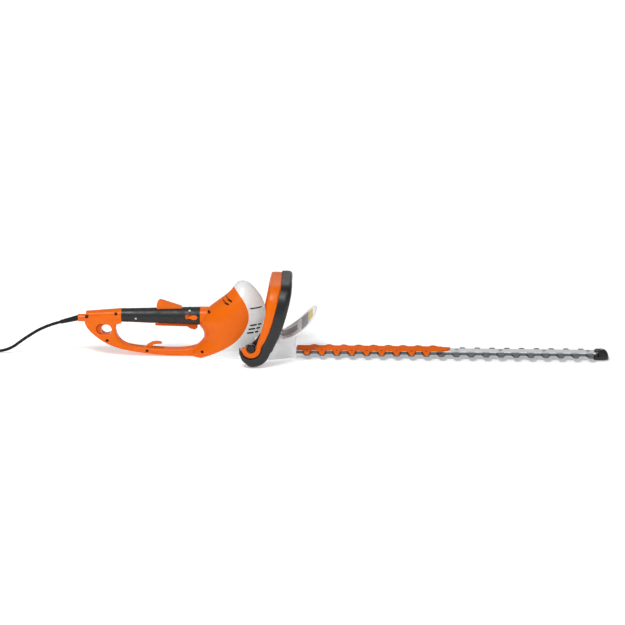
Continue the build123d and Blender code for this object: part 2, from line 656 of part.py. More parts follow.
with BuildPart() as pinion:
    with BuildSketch(at_z(WHEEL_Z)):
        with Locations(Location((MOTOR_X, 0, 0), (0, 0, 180.0 / PINION_TEETH))):
            add(gear_face(PINION_TEETH, 0.12))
        with Locations((MOTOR_X, 0)):
            Circle(3.0, mode=Mode.SUBTRACT)
    extrude(amount=WHEEL_T)
save(pinion, "pinion")

with BuildPart() as gear_wheel:
    with BuildSketch(at_z(WHEEL_Z)):
        with Locations((WHEEL_X, 0)):
            add(gear_face(WHEEL_TEETH, 0.12))
            Circle(AXLE_R + FIT, mode=Mode.SUBTRACT)
            with PolarLocations(17.5, 6):
                Circle(5.0, mode=Mode.SUBTRACT)
    extrude(amount=WHEEL_T)
save(gear_wheel, "gear_wheel")

with BuildPart() as eccentrics:
    rods(at_z(LOWER_BLADE_Z - 0.8), [(WHEEL_X, THROW)], ECCENTRIC_R, BLADE_T + 0.95)
    rods(at_z(UPPER_BLADE_Z - 0.15), [(WHEEL_X, -THROW)], ECCENTRIC_R, WHEEL_Z - UPPER_BLADE_Z + 0.15)
    rods(at_z(0.0), [(WHEEL_X, 0)], AXLE_R + FIT, 30.0, Mode.SUBTRACT)
save(eccentrics, "eccentrics")

with BuildPart() as gear_axle:
    rods(at_z(3.0), [(WHEEL_X, 0)], AXLE_R, 24.4)
save(gear_axle, "gear_axle")


def blade(z):
    """One reciprocating blade: a yoke round its eccentric, a slotted spine, and teeth along both sides."""
    with BuildPart(mode=Mode.PRIVATE) as plate:
        with BuildSketch(at_z(z)):
            with Locations(((WHEEL_X + BLADE_FRONT) / 2, 0)):
                Rectangle(BLADE_FRONT - WHEEL_X, 2 * BLADE_HALF)
            with Locations((WHEEL_X, 0)):
                RectangleRounded(2 * YOKE_X + 10.0, 54.0, 8.0)
                Rectangle(2 * YOKE_X, 2 * YOKE_Y, mode=Mode.SUBTRACT)
            for side, teeth in ((-1, NEAR_TEETH), (1, FAR_TEETH)):
                for x in teeth:
                    with BuildLine():
                        Polyline(
                            (x - 11.0, side * (BLADE_HALF - 1)), (x - 5.0, side * TOOTH_TIP),
                            (x + 5.0, side * TOOTH_TIP), (x + 11.0, side * (BLADE_HALF - 1)), close=True,
                        )
                    make_face()
            with Locations(*[(x, 0) for x in BAR_SCREWS]):
                SlotCenterToCenter(2 * THROW + 1.0, 7.0, mode=Mode.SUBTRACT)
        extrude(amount=BLADE_T)
    return plate.part


for name, z in (("lower_blade", LOWER_BLADE_Z), ("upper_blade", UPPER_BLADE_Z)):
    with BuildPart() as cutter:
        add(blade(z))
    save(cutter, name)

# ---------------------------------------------------------------- grey motor cover
with BuildPart() as motor_cover:
    add(BODY)
    add(FRONT_OF_SEAM, mode=Mode.INTERSECT)
    add(BODY_CAVITY, mode=Mode.SUBTRACT)
    brick(at_z(-5.0), (-400.0, -150.0), (-80.0, 80.0), SEAM_Z + 5.0, Mode.SUBTRACT)
    # air slots round the front quarter, each broken by a rib, and the joint line above them
    for z, shift in ((87.0, 0.0), (78.0, -3.5), (69.0, -7.0)):
        for start, end in ((-225.0, -211.0), (-207.5, -200.0)):
            brick(at_z(z - 1.3), (start + shift, end + shift), (-60.0, 60.0), 2.6, Mode.SUBTRACT)
    brick(at_z(128.2), (-226.0, -197.0), (-60.0, 60.0), 1.4, Mode.SUBTRACT)
save(motor_cover, "motor_cover")

# ---------------------------------------------------------------- gear housing
NOSE_PLAN = [(NOSE_REAR, -40.0), (NOSE_FRONT, -34.0), (NOSE_FRONT, 34.0), (NOSE_REAR, 40.0)]
COVER_POSTS = [(-285.0, -25.0), (-285.0, 25.0), (-263.0, -33.0), (-263.0, 33.0)]
# vertical screws through the gear housing into the nose cover: place, and height of the seat
NOSE_SCREWS = [((-202.0, -36.2), 3.0), ((-202.0, 36.2), 3.0), ((-128.0, -28.5), 9.0), ((-128.0, 28.5), 9.0)]
GEAR_COVER_Z = SEAM_Z + GAP
GUARD_SCREWS = [(-150.0, -15.0), (-150.0, 15.0)]
GUARD_BASE_Z = NOSE_TOP + 0.3
GUARD_SHEET = 3.0

with BuildPart() as gear_housing:
    add(BODY)
    brick(at_z(0.0), (-238.0, -204.0), (-41.5, 41.5), SEAM_Z)
    brick(at_z(SEAM_Z), (-400.0, -150.0), (-80.0, 80.0), 200.0, Mode.SUBTRACT)
    add(FRONT_OF_SEAM, mode=Mode.INTERSECT)
    prism(at_z(0.0), NOSE_PLAN, SEAM_Z)
    add(BODY_CAVITY, mode=Mode.SUBTRACT)
    prism(at_y(50.0), [(-180.0, 0.0), (-110.0, 8.0), (-110.0, -5.0), (-180.0, -5.0)], 100.0, Mode.SUBTRACT)
    brick(at_z(8.8), (-236.0, -168.0), (-33.0, 33.0), 20.0, Mode.SUBTRACT)
    brick(at_z(8.3), (-181.0, -132.0), (-22.0, 22.0), 20.0, Mode.SUBTRACT)
    brick(at_z(10.9), (-133.0, -110.0), (-17.6, 17.6), BAR_Z - 10.9, Mode.SUBTRACT)
    brick(at_z(10.9), (-133.0, -110.0), (-BAR_HALF - 0.1, BAR_HALF + 0.1), 20.0, Mode.SUBTRACT)
    rods(at_z(1.0), [(WHEEL_X, 0)], 7.5, 8.0)
    rods(at_z(3.0), [(WHEEL_X, 0)], AXLE_R, 8.0, Mode.SUBTRACT)
    rods(at_z(1.5), COVER_POSTS, 4.0, GEAR_COVER_Z - 1.5)
    rods(at_z(10.0), COVER_POSTS, SCREW_R, 20.0, Mode.SUBTRACT)
    for place, seat in NOSE_SCREWS:
        rods(at_z(-1.0), [place], 3.2 + FIT, seat + 1.0, Mode.SUBTRACT)
        rods(at_z(seat), [place], SCREW_R, 30.0, Mode.SUBTRACT)
save(gear_housing, "gear_housing")

with BuildPart() as nose_cover:
    prism(at_z(SEAM_Z), NOSE_PLAN, NOSE_TOP - SEAM_Z)
    fillet(nose_cover.edges().group_by(Axis.Z)[-1], 3.0)
    brick(at_z(SEAM_Z), (-220.0, -150.0), (-31.0, 31.0), NOSE_TOP - WALL - SEAM_Z, Mode.SUBTRACT)
    brick(at_z(SEAM_Z), (-151.0, NOSE_FRONT - WALL), (-24.0, 24.0), NOSE_TOP - WALL - SEAM_Z, Mode.SUBTRACT)
    add(BODY, mode=Mode.SUBTRACT)
    for place, _ in NOSE_SCREWS:
        rods(at_z(SEAM_Z), [place], SCREW_R, 14.0, Mode.SUBTRACT)
    rods(at_z(SEAM_Z), GUARD_SCREWS, SCREW_R, 60.0, Mode.SUBTRACT)
save(nose_cover, "nose_cover")

with BuildPart() as nose_screws:
    for place, seat in NOSE_SCREWS:
        rods(at_z(seat - HEAD_T), [place], 3.2, HEAD_T)
        rods(at_z(seat), [place], SCREW_R, SEAM_Z + 13.0 - seat)
    rods(at_z(NOSE_TOP - WALL + 0.2), GUARD_SCREWS, SCREW_R, 6.0)
    rods(at_z(GUARD_BASE_Z + GUARD_SHEET), GUARD_SCREWS, HEAD_R, HEAD_T)
save(nose_screws, "nose_screws")

with BuildPart() as gear_cover:
    add(skinned(CAVITY_SECTIONS, WALL + 0.6))
    add(FRONT_OF_SEAM, mode=Mode.INTERSECT)
    brick(at_z(0.0), (-400.0, -150.0), (-80.0, 80.0), GEAR_COVER_Z, Mode.SUBTRACT)
    brick(at_z(GEAR_COVER_Z + 3.0), (-400.0, -150.0), (-80.0, 80.0), 200.0, Mode.SUBTRACT)
    rods(at_z(GEAR_COVER_Z), [(MOTOR_X, 0)], BEARING_R + 3.0, LOWER_BEARING_Z[1] - GEAR_COVER_Z)
    rods(at_z(LOWER_BEARING_Z[0]), [(MOTOR_X, 0)], BEARING_R, 20.0, Mode.SUBTRACT)
    rods(at_z(0.0), [(MOTOR_X, 0)], 7.6, 40.0, Mode.SUBTRACT)
    rods(at_z(0.0), [(WHEEL_X, 0)], AXLE_R, 40.0, Mode.SUBTRACT)
    rods(at_z(0.0), COVER_POSTS, SCREW_R, 40.0, Mode.SUBTRACT)
save(gear_cover, "gear_cover")

with BuildPart() as gear_cover_screws:
    rods(at_z(10.0), COVER_POSTS, SCREW_R, GEAR_COVER_Z - 7.0)
    rods(at_z(GEAR_COVER_Z + 3.0), COVER_POSTS, 3.4, 2.2)
save(gear_cover_screws, "gear_cover_screws")

with BuildPart() as bail_switch:
    brick(at_z(30.0), (-190.0, -164.0), (7.0, 22.0), 15.0)
    brick(at_z(45.0), (-180.0, -176.0), (12.0, 17.0), 2.0)
    fillet(bail_switch.edges().filter_by(Axis.Z), 1.0)
save(bail_switch, "bail_switch")

# ---------------------------------------------------------------- front loop handle and switch bail
OUTER_ARCH = [
    (-106.5, -40.0), (-113.5, 50.0), (-116.0, 100.0), (-110.5, 146.0), (-97.5, 176.0), (-68.0, 196.5),
]
INNER_ARCH = [
    (-84.5, -40.0), (-91.5, 50.0), (-94.0, 100.0), (-89.5, 138.0), (-79.0, 161.0), (-58.0, 176.0),
]
LOOP_TOP = 203.0
# side views, from the top down
BAIL_REAR = [
    (-176.0, 212.0), (-178.0, 188.0), (-182.5, 165.0), (-188.5, 130.0), (-196.0, 96.0), (-207.0, 62.0),
]
SEAM_LINE = [
    (-148.0, 212.0), (-150.0, 188.0), (-156.5, 165.0), (-165.5, 130.0), (-175.5, 96.0), (-189.5, 64.0),
]
LOOP_FRONT = [
    (-127.0, 212.0), (-125.5, 188.0), (-130.0, 160.0), (-141.0, 118.0), (-152.5, 83.0), (-165.0, 53.0),
    (-180.0, 28.0), (-191.0, 10.5), (-204.0, 2.0), (-217.0, 1.0), (-231.0, 9.5), (-240.5, 25.4),
    (-246.5, 44.0),
]


def arch(inset, drop=0.0):
    """The loop seen from the front, thinned by the inset; drop raises its inner edge."""
    edges = []
    for half, top, distance in ((OUTER_ARCH, LOOP_TOP, -inset), (INNER_ARCH, LOOP_TOP - LOOP_WIDTH, inset)):
        whole = beside(half + [(0.0, top)] + [(-y, z) for y, z in reversed(half)], distance)
        with BuildSketch(mode=Mode.PRIVATE) as face:
            with BuildLine():
                side = Spline(*whole)
                Line(side @ 1, side @ 0)
            make_face()
        edges.append(face.sketch)
    outer, inner = edges
    with BuildSketch(mode=Mode.PRIVATE) as ring:
        add(outer)
        add(inner.moved(Location((0, drop, 0))), mode=Mode.SUBTRACT)
        if drop:
            add(inner, mode=Mode.SUBTRACT)
    return ring.sketch


def strip(rear, front, corners=()):
    """A side view between two curves that run from the top down, closed through the corner points."""
    with BuildSketch(mode=Mode.PRIVATE) as side:
        with BuildLine():
            back = Spline(*rear)
            face = Spline(*front)
            Line(back @ 0, face @ 0)
            Polyline(face @ 1, *corners, back @ 1)
        make_face()
    return side.sketch


def shifted(curve, forward):
    """The curve moved forward, less and less towards its lower end."""
    return [(x + forward * min(1.0, max(0.0, (z - 40.0) / 40.0)), z) for x, z in curve]


def in_loop(side, inset, drop=0.0):
    """The solid whose side view is the sketch and whose front view is the arch."""
    with BuildPart(mode=Mode.PRIVATE) as piece:
        with BuildSketch(at_x(-260.0)):
            add(arch(inset, drop))
        extrude(amount=150.0)
        with BuildSketch(at_y(130.0)) as profile:
            add(side)
        extrude(profile.sketch, amount=260.0, mode=Mode.INTERSECT)
    return piece.part


channel_rear = [(-262.0, 212.0), (-262.0, 120.0), (-262.0, 46.0)]
channel_side = strip(channel_rear, shifted(SEAM_LINE, 12.0), [(-200.0, 52.0)])
whole_side = strip([(-262.0, 212.0), (-262.0, 0.0)], [(-120.0, 212.0), (-120.0, 0.0)])

with BuildPart() as curl_space:  # the room that the bail's curled foot turns in
    rods(at_y(130.0), [(PIVOT_X, PIVOT_Z)], CURL_R + GAP, 260.0)
    add(in_loop(whole_side, CHANNEL_WALL), mode=Mode.INTERSECT)

with BuildPart() as loop_handle:
    add(in_loop(strip(SEAM_LINE, LOOP_FRONT, [(-246.5, 62.0), (-203.0, 62.0)]), 0.0))
    add(in_loop(channel_side, CHANNEL_WALL), mode=Mode.SUBTRACT)
    add(curl_space.part, mode=Mode.SUBTRACT)
    for start in (130.0, -103.0):
        rods(at_y(start), [(PIVOT_X, PIVOT_Z)], CURL_R + GAP, 27.0, Mode.SUBTRACT)
    for start in (111.5, -30.0):
        rods(at_y(start), [(PIVOT_X, PIVOT_Z)], BOSS_R, 81.5)
    for y_range in ((41.5, 93.0), (-93.0, -41.5)):
        brick(at_z(0.5), (-236.0, -206.0), y_range, 13.0)
    add(BODY, mode=Mode.SUBTRACT)
    prism(at_z(0.0), NOSE_PLAN, NOSE_TOP, Mode.SUBTRACT)
save(loop_handle, "loop_handle")

bail_side = strip(BAIL_REAR, shifted(SEAM_LINE, 5.0), [(-203.0, 50.0), (-214.0, 50.0)])
with BuildPart() as switch_bail:
    with BuildSketch(mode=Mode.PRIVATE) as curl:
        with Locations((PIVOT_X, PIVOT_Z)):
            Circle(CURL_R)
        with BuildLine():
            Polyline(
                (PIVOT_X, PIVOT_Z), (PIVOT_X + 9.0, PIVOT_Z + 40.0), (PIVOT_X - 40.0, PIVOT_Z + 40.0),
                (PIVOT_X - 40.0, PIVOT_Z + 2.0), close=True,
            )
        make_face(mode=Mode.SUBTRACT)
        add(bail_side)
        with Locations((PIVOT_X, PIVOT_Z)):
            Circle(BOSS_R + FIT, mode=Mode.SUBTRACT)
    add(in_loop(curl.sketch, CHANNEL_WALL + 0.4, BAIL_DROP))
    for start in (106.5, -98.5):
        rods(at_y(start), [(PIVOT_X, PIVOT_Z)], 12.8, 8.0, Mode.SUBTRACT)
save(switch_bail, "switch_bail")

with BuildPart() as bail_springs:
    for y in (105.7, -99.3):
        with Locations(Location((PIVOT_X, y, PIVOT_Z), (90, 0, 0))):
            add(coil_spring(11.2, 1.3, 6.4, 4))
save(bail_springs, "bail_springs")

# ---------------------------------------------------------------- hand guard
GUARD_CURVE = [
    (-142.0, GUARD_BASE_Z), (-128.0, 60.5), (-115.0, 68.3), (-100.0, 79.5), (-82.0, 98.3), (-69.0, 117.0),
    (-63.5, 126.0),
]

GUARD_CREST = 127.5  # highest point of the arc that the guard has, seen from the front
GUARD_EDGE = [(-62.0, 66.0), (-69.0, 84.0), (-66.0, 100.0), (-51.0, 114.0), (-26.0, 123.5)]

with BuildPart() as hand_guard:
    with BuildSketch(at_y(71.0)):
        with BuildLine():
            under = Spline(*GUARD_CURVE)
            over = Spline(*beside(GUARD_CURVE, GUARD_SHEET))
            Line(under @ 1, over @ 1)
            Polyline(under @ 0, (-162.0, GUARD_BASE_Z), (-162.0, GUARD_BASE_Z + GUARD_SHEET), over @ 0)
        make_face()
    extrude(amount=142.0)
    with BuildSketch(at_x(-165.0)):
        with BuildLine():
            crown = Spline(*GUARD_EDGE, (0.0, GUARD_CREST), *[(-y, z) for y, z in reversed(GUARD_EDGE)])
            Polyline(crown @ 1, (36.0, 40.0), (-36.0, 40.0), crown @ 0)
        make_face()
    extrude(amount=110.0, mode=Mode.INTERSECT)
    for y in (41.5, -38.5):
        prism(at_y(y), [(-156.0, 42.0), (-122.0, 42.0), (-116.0, 66.0), (-142.0, 55.6), (-156.0, 55.6)], 3.0)
    for y in (39.0, -35.0):
        prism(at_y(y), [(-158.0, 55.3), (-141.0, 55.3), (-141.0, 58.3), (-158.0, 58.3)], 4.0)
    rods(at_z(50.0), GUARD_SCREWS, SCREW_R, 20.0, Mode.SUBTRACT)
save(hand_guard, "hand_guard")

with BuildPart() as guard_label:
    with BuildSketch(at_y(30.0)):
        with BuildLine():
            plate = GUARD_CURVE[3:]
            low = Spline(*beside(plate, GUARD_SHEET + 0.3))
            high = Spline(*beside(plate, GUARD_SHEET + 1.1))
            Line(low @ 0, high @ 0)
            Line(low @ 1, high @ 1)
        make_face()
    extrude(amount=60.0)
save(guard_label, "guard_label")

# ---------------------------------------------------------------- guide bar and its fittings
with BuildPart() as guide_bar:
    with BuildSketch(at_z(BAR_Z)):
        with Locations(((-172.0 + 630.0) / 2, 0)):
            RectangleRounded(630.0 + 172.0, 2 * BAR_HALF, 4.0)
        with Locations(*[(x, 0) for x in BAR_SCREWS], (622.0, 0)):
            Circle(2.5, mode=Mode.SUBTRACT)
    extrude(amount=BAR_T)
save(guide_bar, "guide_bar")

with BuildPart() as bar_screws:
    places = [(x, 0) for x in BAR_SCREWS]
    rods(at_z(LOWER_BLADE_Z - 0.2), places, 3.2, BAR_Z - LOWER_BLADE_Z + 0.2)
    rods(at_z(LOWER_BLADE_Z - 2.6), places, 6.0, 2.4)
    rods(at_z(BAR_Z), places, 2.5, BAR_T)
    with BuildSketch(at_z(BAR_TOP)):
        with Locations(*places):
            RegularPolygon(4.4, 6)
    extrude(amount=2.3)
save(bar_screws, "bar_screws")

with BuildPart() as blade_guard:
    with BuildSketch(at_z(BAR_TOP + 0.1)):
        with BuildLine():
            side_line = [(GUARD_END - 24.0, 19.5), (GUARD_END - 15.0, 13.0), (GUARD_END - 9.0, 13.0)]
            other = [(x, -y) for x, y in reversed(side_line)]
            outline = [(GUARD_START, 19.5), *side_line, (GUARD_END, 0.0), *other, (GUARD_START, -19.5)]
            Polyline(*outline, close=True)
        make_face()
        for side, teeth in ((-1, NEAR_TEETH), (1, FAR_TEETH)):
            for x in [x for x in teeth if x < GUARD_END - 24.0]:
                with BuildLine():
                    finger = [(x - 11.0, 18.0), (x - 4.5, 37.5), (x + 4.5, 37.5), (x + 11.0, 18.0)]
                    Polyline(*[(x_at, side * y) for x_at, y in finger], close=True)
                make_face()
    extrude(amount=GUARD_T)
    for side, teeth in ((-1, NEAR_TEETH), (1, FAR_TEETH)):
        tips = [x for x in teeth if x < GUARD_END - 24.0]
        with BuildSketch(at_z(LOWER_BLADE_Z - 1.0)):
            with Locations(*[(x, side * 37.6) for x in tips]):
                RectangleRounded(9.0, 3.0, 1.2)
        extrude(amount=BAR_TOP + 0.1 + GUARD_T - LOWER_BLADE_Z + 1.0)
    with BuildSketch(at_z(BAR_TOP)):
        with Locations(*[(x, 0) for x in BAR_SCREWS if x < GUARD_END]):
            Circle(5.2)
    extrude(amount=2.6, mode=Mode.SUBTRACT)
save(blade_guard, "blade_guard")

with BuildPart() as tip_protector:
    with BuildSketch(at_z(0.0)):
        with Locations((616.0, 0)):
            Ellipse(X_TIP - 616.0, 21.0)
        with Locations((590.0, 0)):
            Rectangle(52.0, 60.0, mode=Mode.SUBTRACT)
    extrude(amount=25.0)
    brick(at_z(BAR_Z), (600.0, 630.0), (-BAR_HALF, BAR_HALF), BAR_T, Mode.SUBTRACT)
    rods(at_z(6.0), [(622.0, 0)], 2.5, 30.0, Mode.SUBTRACT)
    crown = tip_protector.edges().group_by(Axis.Z)[-1]
    fillet(crown.filter_by(lambda e: e.length > 30 and e.center().X > 620), 4.0)
save(tip_protector, "tip_protector")

with BuildPart() as tip_screw:
    rods(at_z(6.0), [(622.0, 0)], 2.5, 19.0)
    rods(at_z(25.0), [(622.0, 0)], 4.0, 2.0)
save(tip_screw, "tip_screw")

# ---------------------------------------------------------------- mains cord
with BuildPart() as cord_sleeve:
    root, tip = Vector(-640.0, 0, SOCKET_Z), Vector(*CORD_ROUTE[0])
    rods(at_x(-630.0), [(0, SOCKET_Z)], 6.9, -12.5)
    with BuildSketch(Plane(root, z_dir=tip - root)):
        Circle(6.9)
    with BuildSketch(Plane(tip, z_dir=tip - root)):
        Circle(4.9)
    loft()
save(cord_sleeve, "cord_sleeve")


def largest_radii(route):
    """Each corner's arc radius: 0.45 of its shorter run over the tangent of half its turn."""
    radii = []
    for before, corner, after in zip(route, route[1:], route[2:]):
        first, second = Vector(*corner) - Vector(*before), Vector(*after) - Vector(*corner)
        turn = radians(first.get_angle(second))
        radii.append(0.45 * min(first.length, second.length) / tan(turn / 2))
    return radii


with BuildPart() as mains_cord:
    with BuildLine() as cord_path:
        radii = largest_radii(CORD_ROUTE)
        FilletPolyline(*CORD_ROUTE, radius=radii)
    with BuildSketch(Plane(cord_path.line @ 0, z_dir=cord_path.line % 0)):
        Circle(CORD_D / 2)
    sweep(path=cord_path.line)
save(mains_cord, "mains_cord")
cord_length = sum(edge.length for edge in cord_path.edges())
print("cord radii", [round(r) for r in radii], "length", round(cord_length, 1))
print("cord volume over section times length", mains_cord.part.volume / (pi * CORD_D**2 / 4 * cord_length))

cord_end = Vector(*CORD_ROUTE[-1])
plug_axis = (cord_end - Vector(*CORD_ROUTE[-2])).normalized()


def plug_section(distance):
    """The plane across the plug, whose sketch x axis is level."""
    return Plane(cord_end + plug_axis * distance, x_dir=Vector(0, 0, 1).cross(plug_axis), z_dir=plug_axis)


PLUG_SECTIONS = [  # distance from the cord's end, width, height
    (0.0, 9.0, 9.0), (22.0, 13.0, 12.5), (30.0, 24.0, 18.0), (42.0, 34.0, 25.0), (PLUG_LENGTH, 36.0, 26.0),
]
with BuildPart() as plug_body:
    for distance, width, height in PLUG_SECTIONS:
        with BuildSketch(plug_section(distance)):
            Ellipse(width / 2, height / 2)
    loft()
save(plug_body, "plug_body")

with BuildPart() as plug_pins:
    with BuildSketch(plug_section(PLUG_LENGTH)):
        with Locations((-9.5, 0), (9.5, 0)):
            Circle(2.4)
    extrude(amount=PIN_LENGTH)
    ends = plug_pins.edges().filter_by(GeomType.CIRCLE)
    fillet(ends.filter_by(lambda e: e.center().Y > cord_end.Y + PLUG_LENGTH + 5), 1.5)
save(plug_pins, "plug_pins")
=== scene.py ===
"""Hedge trimmer: looks, camera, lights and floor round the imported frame.

Blender's own values are in metres. Shapes are written in millimetres, and piece() turns them into metres.
X runs along the blade, Z is up, and "near" is the -Y side, which the camera sees.
"""

import json
import math

import bmesh
import bpy
from mathutils import Euler, Matrix, Vector
from mathutils.bvhtree import BVHTree


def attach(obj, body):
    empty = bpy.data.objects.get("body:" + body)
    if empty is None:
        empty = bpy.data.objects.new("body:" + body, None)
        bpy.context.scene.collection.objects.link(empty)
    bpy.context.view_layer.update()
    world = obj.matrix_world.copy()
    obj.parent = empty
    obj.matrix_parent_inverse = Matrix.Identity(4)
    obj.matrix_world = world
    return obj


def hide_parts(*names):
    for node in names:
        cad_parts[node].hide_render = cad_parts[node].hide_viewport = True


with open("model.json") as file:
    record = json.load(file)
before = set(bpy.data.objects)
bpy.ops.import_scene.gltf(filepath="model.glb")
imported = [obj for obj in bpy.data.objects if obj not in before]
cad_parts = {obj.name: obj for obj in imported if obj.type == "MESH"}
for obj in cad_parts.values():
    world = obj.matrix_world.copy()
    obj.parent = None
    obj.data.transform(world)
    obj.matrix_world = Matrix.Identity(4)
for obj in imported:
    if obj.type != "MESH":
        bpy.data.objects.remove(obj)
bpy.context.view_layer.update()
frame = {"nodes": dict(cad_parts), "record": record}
nodes = frame["nodes"]
scene = bpy.context.scene
scene.view_settings.view_transform = "Standard"
scene.view_settings.look = "None"

# ---------------------------------------------------------------- camera
ELEVATION = math.radians(15.0)
DISTANCE = 5.5
VIEW_WIDTH = 1.506  # of the frame, at the object
AIM = Vector((-0.0766, 0.0, 0.110))
ROLL = 0.0105
SENSOR = 36.0

lens = bpy.data.cameras.new("camera")
lens.sensor_width = SENSOR
lens.lens = SENSOR * DISTANCE / VIEW_WIDTH
lens.clip_end = 60.0
camera = bpy.data.objects.new("camera", lens)
scene.collection.objects.link(camera)
camera.location = AIM + DISTANCE * Vector((0.0, -math.cos(ELEVATION), math.sin(ELEVATION)))
camera.rotation_euler = (
    Euler((math.pi / 2 - ELEVATION, 0.0, 0.0)).to_matrix() @ Matrix.Rotation(ROLL, 3, "Z")
).to_euler()
scene.camera = camera

# ---------------------------------------------------------------- materials
MOTTLE_SCALE, SCUFF_SCALE = 14.0, 60.0  # of the noise in colour and in roughness
BUMP_STRENGTH = 0.25
COAT_ROUGHNESS = 0.25
DRAWN = (1.0, 14.0, 14.0)  # stretches the noise along the blade


def srgb(values):
    """Linear colour from three display values, 0 to 255."""
    linear = [(c / 255 / 12.92) if c <= 10 else ((c / 255 + 0.055) / 1.055) ** 2.4 for c in values]
    return (*linear, 1.0)


def surface(
    name, colour, roughness=0.4, metallic=0.0, grain=900.0, depth=0.02, mottle=0.06, stretch=None,
    coat=0.0, wear=0.25, specular=0.5,
):
    """A moulded or ground surface: fine grain in bump, soft mottling in colour, and scuffs in roughness."""
    material = bpy.data.materials.new(name)
    material.use_nodes = True
    tree = material.node_tree
    shader = tree.nodes["Principled BSDF"]
    shader.inputs["Metallic"].default_value = metallic
    shader.inputs["Coat Weight"].default_value = coat
    shader.inputs["Coat Roughness"].default_value = COAT_ROUGHNESS
    shader.inputs["Specular IOR Level"].default_value = specular
    place = tree.nodes.new("ShaderNodeTexCoord").outputs["Object"]
    if stretch:
        mapping = tree.nodes.new("ShaderNodeMapping")
        mapping.inputs["Scale"].default_value = stretch
        tree.links.new(place, mapping.inputs["Vector"])
        place = mapping.outputs["Vector"]

    def noise(scale, detail):
        node = tree.nodes.new("ShaderNodeTexNoise")
        node.inputs["Scale"].default_value = scale
        node.inputs["Detail"].default_value = detail
        tree.links.new(place, node.inputs["Vector"])
        return node.outputs["Fac"]

    def spread(source, low, high):
        node = tree.nodes.new("ShaderNodeMapRange")
        node.inputs["From Min"].default_value = 0.3
        node.inputs["From Max"].default_value = 0.7
        node.inputs["To Min"].default_value = low
        node.inputs["To Max"].default_value = high
        tree.links.new(source, node.inputs["Value"])
        return node.outputs["Result"]

    base = srgb(colour)[:3]
    mix = tree.nodes.new("ShaderNodeMix")
    mix.data_type = "RGBA"
    mix.inputs["A"].default_value = tuple(c * (1 - mottle) for c in base) + (1.0,)
    mix.inputs["B"].default_value = tuple(min(1.0, c * (1 + mottle)) for c in base) + (1.0,)
    tree.links.new(noise(MOTTLE_SCALE, 4.0), mix.inputs["Factor"])
    tree.links.new(mix.outputs["Result"], shader.inputs["Base Color"])
    rough = spread(noise(SCUFF_SCALE, 6.0), roughness * (1 - wear), roughness * (1 + wear))
    tree.links.new(rough, shader.inputs["Roughness"])
    bump = tree.nodes.new("ShaderNodeBump")
    bump.inputs["Strength"].default_value = BUMP_STRENGTH
    bump.inputs["Distance"].default_value = depth / 1000
    tree.links.new(noise(grain, 2.0), bump.inputs["Height"])
    tree.links.new(bump.outputs["Normal"], shader.inputs["Normal"])
    return material


LOOKS = {  # for each material slot of the record: what differs from surface()'s own values
    "orange_shell": dict(
        colour=(230, 103, 0), roughness=0.34, depth=0.04, mottle=0.03, coat=0.10, specular=0.16,
    ),
    "grey_shell": dict(colour=(228, 231, 230), roughness=0.30, depth=0.05, mottle=0.02),
    "light_grey_shell": dict(colour=(240, 241, 243), roughness=0.30, depth=0.05, mottle=0.02),
    "black_plastic": dict(colour=(20, 22, 24), roughness=0.36, depth=0.05),
    "soft_grip": dict(colour=(14, 16, 18), roughness=0.50, grain=1400.0, depth=0.10),
    "rubber": dict(colour=(18, 18, 18), roughness=0.55, depth=0.06, specular=0.25),
    "screw_steel": dict(colour=(196, 196, 198), roughness=0.32, metallic=1.0, mottle=0.05),
    # the blades' steel is darker than the guide bar's: painted shade, for the teeth that lie in shadow under
    # the guard
    "blade_steel": dict(colour=(104, 108, 113), roughness=0.34, metallic=0.9, grain=240.0, stretch=DRAWN),
    "machined_steel": dict(colour=(168, 168, 172), roughness=0.30, metallic=1.0, mottle=0.05),
    "spring_steel": dict(colour=(150, 150, 154), roughness=0.34, metallic=1.0),
    "copper": dict(colour=(196, 112, 62), roughness=0.33, metallic=1.0, grain=420.0, depth=0.12, mottle=0.15),
    "carbon": dict(colour=(40, 40, 42), roughness=0.60, depth=0.06),
    "wire_insulation": dict(colour=(60, 80, 150), roughness=0.30),
    "cast_aluminium": dict(colour=(190, 192, 195), roughness=0.48, metallic=1.0, grain=260.0, depth=0.12),
    "plug_brass": dict(colour=(206, 196, 170), roughness=0.25, metallic=1.0),
    "label": dict(colour=(151, 152, 158), roughness=0.45, mottle=0.03),
    "capacitor_case": dict(colour=(214, 196, 70), roughness=0.35),
    # the screws are as dark as the holes they sit in: painted shade
    "dark_screws": dict(colour=(58, 30, 18), roughness=0.5, metallic=0.6),
    # the guide bar's steel is near white: a painted reflection of the white surroundings on its polished top
    "bar_steel": dict(
        colour=(236, 237, 238), roughness=0.30, metallic=0.35, grain=240.0, mottle=0.04, stretch=DRAWN,
    ),
}
MATERIALS = {slot: surface(slot, **look) for slot, look in LOOKS.items()}
LABEL_YELLOW = surface("label_yellow", (226, 206, 96), roughness=0.45, mottle=0.03)
# painted shade: the darker grey of the shadowed base of the hand guard
PAINTED_SHADE_GREY = surface("painted_shade_grey", (162, 162, 166), roughness=0.5, depth=0.05)
GUARD_ORANGE = surface("guard_orange", (232, 100, 4), roughness=0.55, depth=0.05, mottle=0.05, specular=0.05)
# the trigger's own deeper orange, and painted shade on the inner crescent by the cable hole
DEEP_ORANGE_AND_SHADE = surface("deep_orange_and_shade", (206, 82, 8), roughness=0.42, depth=0.04, mottle=0.04, specular=0.12)
# painted shade: dark orange for the bottoms of the guard's pits and the rim of the recess by the cable hole
PAINTED_SHADE_ORANGE = surface("painted_shade_orange", (168, 48, 6), roughness=0.55, depth=0.04, mottle=0.04, specular=0.1)
for part in frame["record"]["subparts"]:
    target = nodes[part["node"]]
    target.data.materials.clear()
    target.data.materials.append(MATERIALS[part["material_slot"]])
nodes["trigger"].data.materials[0] = DEEP_ORANGE_AND_SHADE

